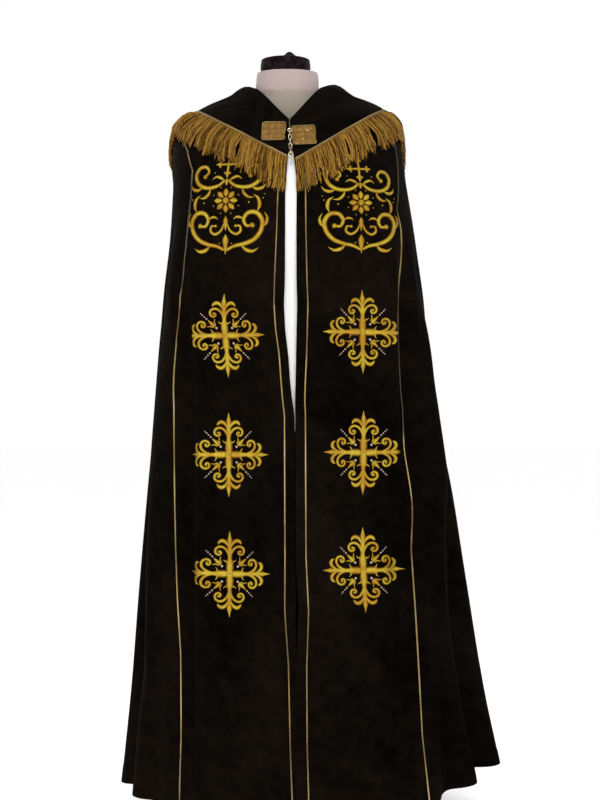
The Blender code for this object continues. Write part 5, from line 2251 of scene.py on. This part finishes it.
@dataclass
class DressForm:
    """The limbless form: a padded torso under jersey, with seams, a black neck cap and a turned knob."""

    sides: int = 144
    rings: int = 150
    seam_depth: float = 0.0011
    seam_angles: tuple[float, ...] = (270.0, 90.0, 0.0, 180.0, 236.0, 304.0)
    crease_angle: float = 236.0
    cap_middle: tuple[float, float] = (-0.0070, 0.002)
    knob_middle: tuple[float, float] = (0.0010, 0.002)
    cap: Rows = (
        (0.0020, 1.5025), (0.0440, 1.5025), (0.0475, 1.5030), (0.0488, 1.5060), (0.0488, 1.5260),
        (0.0482, 1.5290), (0.0462, 1.5306), (0.0330, 1.5312), (0.0190, 1.5313),
    )
    knob: Rows = (
        (0.0020, 1.5315), (0.0235, 1.5315), (0.0242, 1.5324), (0.0232, 1.5337), (0.0165, 1.5366),
        (0.0110, 1.5400), (0.0072, 1.5432), (0.0040, 1.5458), (0.0006, 1.5469),
    )

    def relief(self, row: np.ndarray, angle: np.ndarray) -> np.ndarray:
        """A groove at each seam, and on the neck faint wrinkles, products of sines, and one crease.

        Args:
            row: the rings' heights, as a column.
            angle: the angles round each ring.

        Returns:
            How far each point stands out.
        """
        groove = np.zeros_like(angle)
        for seam in self.seam_angles:
            away = np.abs((np.degrees(angle) - seam + 180) % 360 - 180)
            groove += self.seam_depth * hump(away / 3.2)
        wrinkle = 0.0007 * np.sin(row * 240 + 3.1 * np.cos(angle + 1.1)) * np.sin(row * 90 + 2 * angle + 0.6)
        from_crease = angle - math.radians(self.crease_angle)
        crease = np.abs(row - 1.462 + 0.030 * (np.abs(from_crease) / 0.45 - 1)) / 0.004
        wrinkle -= 0.0012 * hump(crease) * hump(from_crease / 0.60)
        wrinkle *= ramp((row - 1.40) / 0.05) * ramp((1.492 - row) / 0.02)
        return wrinkle - groove

    def torso(self) -> None:
        """Rings whose x and y are 0.92nd powers of cosine and sine, smoothed upwards, with the relief."""
        form = table(FORM_COLUMNS, FORM_RINGS)
        bottom, top = form["z"][0], form["z"][-1]
        height = np.concatenate([np.linspace(bottom, 1.34, self.rings - 60), np.linspace(1.345, top, 60)])
        sizes = [np.interp(height, form["z"], form[name]) for name in FORM_COLUMNS[1:]]
        even = np.full(5, 0.2)
        sizes = [np.convolve(np.pad(size, 2, "edge"), even, "valid")[:, None] for size in sizes]
        half_width, half_depth, y, x = sizes
        angle = TAU * shares(self.sides)
        shape = self.relief(height[:, None], angle)
        x = x + (half_width + shape) * signed_power(np.cos(angle), 0.92)
        y = y + (half_depth + shape) * signed_power(np.sin(angle), 0.92)
        wall = np.stack([x, y, np.repeat(height[:, None], self.sides, axis=1)], axis=-1)
        shrink = np.array([0.02, 0.5, 0.9, 0.97])[:, None, None]
        middle = np.array([0.0, 0.004, bottom])
        under = middle + (wall[0] - middle) * (shrink, shrink, 1)[0]
        under[..., 2] = bottom - 0.0002 * (1 - shrink[..., 0])
        neck = np.array([-0.003, 0.002, top])
        lid = neck + (wall[-1] - neck) * np.array([0.97, 0.6, 0.02])[:, None, None]
        rings = np.concatenate([under, wall, lid])
        uv = (angle * 0.12, rings[..., 2] - 0.25 * np.hypot(rings[..., 0], rings[..., 1]))
        add_tubes("dress_form_jersey", rings, Finish.JERSEY, ["dress_form"], uv)

    def build(self) -> None:
        """Builds the torso, the cap and the knob."""
        self.torso()
        add_turned("neck_cap", Finish.CAP, rounded(self.cap, 3), self.cap_middle, 64, 40.0)
        add_turned("cap_knob", Finish.CAP, rounded(self.knob, 3), self.knob_middle, 64, 40.0)


@dataclass
class Stand:
    """The pole and the round base, with a collar where they meet and a rounded rim."""

    pole: Rows = (
        (0.0010, 0.0143), (0.0190, 0.0143), (0.0215, 0.0150), (0.0220, 0.0200), (0.0215, 0.0290),
        (0.0190, 0.0310), (0.0145, 0.0318), (0.0140, 0.0340), (0.0140, 0.7500), (0.0140, 0.7560),
        (0.0162, 0.7575), (0.0168, 0.7640), (0.0168, 0.7820), (0.0160, 0.7880), (0.0010, 0.7890),
    )
    base: Rows = (
        (0.0010, 0.0000), (0.1500, 0.0000), (0.1620, 0.0004), (0.1648, 0.0022), (0.1650, 0.0060),
        (0.1642, 0.0100), (0.1612, 0.0128), (0.1570, 0.0138), (0.0400, 0.0140), (0.0010, 0.0140),
    )

    def build(self) -> None:
        """Two turned pieces of satin steel."""
        for node, profile in (("stand_pole", self.pole), ("stand_base", self.base)):
            add_turned(node, Finish.STEEL, profile, (0.0, 0.0), 96, 38.0)


@dataclass
class Studio:
    """The camera, the pale floor and world, and the soft lights: name, place, size, power and warmth."""

    camera_place: tuple[float, float, float] = (0.022, -3.6, 0.85)
    lens: float = 81.0
    floor_half: float = 30.0
    lights: tuple[tuple[Any, ...], ...] = (
        ("key", (-1.7, -3.2, 2.6), 1.4, 22.0, 0.4),
        ("fill", (2.2, -2.6, 1.8), 1.6, 10.0),
        ("front", (0.05, -3.9, 1.15), 0.7, 120.0),
        ("back_left", (-1.8, 2.2, 2.2), 1.2, 16.0),
        ("back_right", (2.0, 2.0, 1.9), 1.2, 16.0),
    )

    def camera(self) -> None:
        """A level camera straight in front, whose frame is 1.6 m high at the form's axis."""
        data = bpy.data.cameras.new("camera")
        data.lens = self.lens
        data.sensor_width = 36.0
        made = bpy.data.objects.new("camera", data)
        made.location = self.camera_place
        made.rotation_euler = (math.radians(90), 0.0, 0.0)
        bpy.context.scene.collection.objects.link(made)
        bpy.context.scene.camera = made

    def light(self, name: str, place: Sequence[float], size: float, power: float, warm: float = 0.0) -> None:
        """A square area light that looks at the cope's middle.

        Args:
            name: the light's name.
            place: where it stands.
            size: its width.
            power: its watts.
            warm: 0 for white, 1 for a warm tint.
        """
        data = bpy.data.lights.new(name, "AREA")
        data.size = size
        data.energy = power
        data.color = (1.0, 1.0 - 0.06 * warm, 1.0 - 0.14 * warm)
        made = bpy.data.objects.new(name, data)
        made.location = place
        made.rotation_mode = "QUATERNION"
        made.rotation_quaternion = (Vector((0.0, 0.0, 0.85)) - Vector(place)).to_track_quat("-Z", "Y")
        bpy.context.scene.collection.objects.link(made)

    def build(self) -> None:
        """Makes the floor, the world and the lights."""
        half = self.floor_half
        mesh = bpy.data.meshes.new("floor")
        points = [(-half, -half, 0), (half, -half, 0), (half, half, 0), (-half, half, 0)]
        mesh.from_pydata(points, [], [(0, 1, 2, 3)])
        mesh.materials.append(Finish.FLOOR.material())
        floor = bpy.data.objects.new("floor", mesh)
        bpy.context.scene.collection.objects.link(floor)
        world = bpy.data.worlds.new("world")
        world.use_nodes = True
        background = world.node_tree.nodes["Background"]
        background.inputs["Color"].default_value = (1.0, 1.0, 1.0, 1.0)
        background.inputs["Strength"].default_value = 1.0
        bpy.context.scene.world = world
        bpy.context.scene.view_settings.view_transform = "Standard"
        for row in self.lights:
            self.light(*row)


# ---------------------------------------------------------------- the whole object

PANELS = (
    Panel("cope_body", 2.0, 3.0, 392, (2.70, 1.42), 2.34, 0.12),
    Panel("orphrey_left", 1.0, 2.0, 76, (0.235, 1.40), 0.322, 0.30),
    Panel("orphrey_right", 3.0, 4.0, 76, (0.240, 1.40), 0.330, 0.30),
    Panel("front_band_left", 0.0, 1.0, 9, (0.024, 1.36), 0.0260),
    Panel("front_band_right", 4.0, 5.0, 9, (0.024, 1.36), 0.0262),
)
PIPINGS = (
    Piping("piping_left_inner", 1),
    # The outer cords' dark stretches are painted shade of folds.
    Piping("piping_left_outer", 2, wear_and_shade=((1.03, 1.275),)),
    Piping("piping_right_outer", 3, wear_and_shade=((0.75, 0.99), (1.19, 1.36))),
    Piping("piping_right_inner", 4),
)
# Where the strands of each run part: the share of the way round, and how far they are pushed aside.
LEFT_PARTINGS = ((0.083, 0.0065), (0.052, 0.0032), (0.036, 0.0030))
RIGHT_PARTINGS = ((0.852, 0.0085), (0.910, 0.0045), (0.955, 0.0030))
FRINGES = (
    Fringe("fringe_front_left", 0.0015, 0.2500, 11, LEFT_PARTINGS),
    Fringe("fringe_back_left", 0.2510, 0.4995, 12, ((0.31, 0.0035), (0.43, 0.0040))),
    Fringe("fringe_back_right", 0.5005, 0.7490, 13, ((0.57, 0.0038), (0.68, 0.0034))),
    Fringe("fringe_front_right", 0.7500, 0.9985, 14, RIGHT_PARTINGS),
)
PLATES = (
    MorsePlate("morse_plate_left", -0.0277, 1.3430, 0.0),
    MorsePlate("morse_plate_right", 0.0292, 1.3385, 0.06),
)
ORNAMENTS = (
    ScrollMedallion("ornament_left", 1.49, 1.233, 31, 0.99),
    ScrollMedallion("ornament_right", 3.52, 1.229, 32, 0.93),
    FleuryCross("cross_left_top", 1.455, 0.973, 41),
    FleuryCross("cross_left_middle", 1.475, 0.7465, 42),
    FleuryCross("cross_left_bottom", 1.475, 0.521, 43),
    FleuryCross("cross_right_top", 3.50, 0.980, 44),
    FleuryCross("cross_right_middle", 3.49, 0.750, 45),
    FleuryCross("cross_right_bottom", 3.485, 0.528, 46),
)


def corners(box: Iterable[Iterable[float]]) -> list[list[float]]:
    """A box's two corners as plain lists."""
    return [[float(value) for value in corner] for corner in box]


def main() -> None:
    """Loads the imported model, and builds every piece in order."""
    logging.basicConfig(level=logging.INFO, format="%(name)s %(message)s")
    for old in list(bpy.data.objects):
        bpy.data.objects.remove(old)
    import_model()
    studio = Studio()
    studio.camera()
    DressForm().build()
    Stand().build()
    drape = Drape()
    for piece in (*PANELS, Hood(), *PIPINGS, *FRINGES, *PLATES):
        piece.build(drape)
    Clasp().build()
    for ornament in ORNAMENTS:
        ornament.build(drape)
    studio.build()


if __name__ == "__main__":
    main()
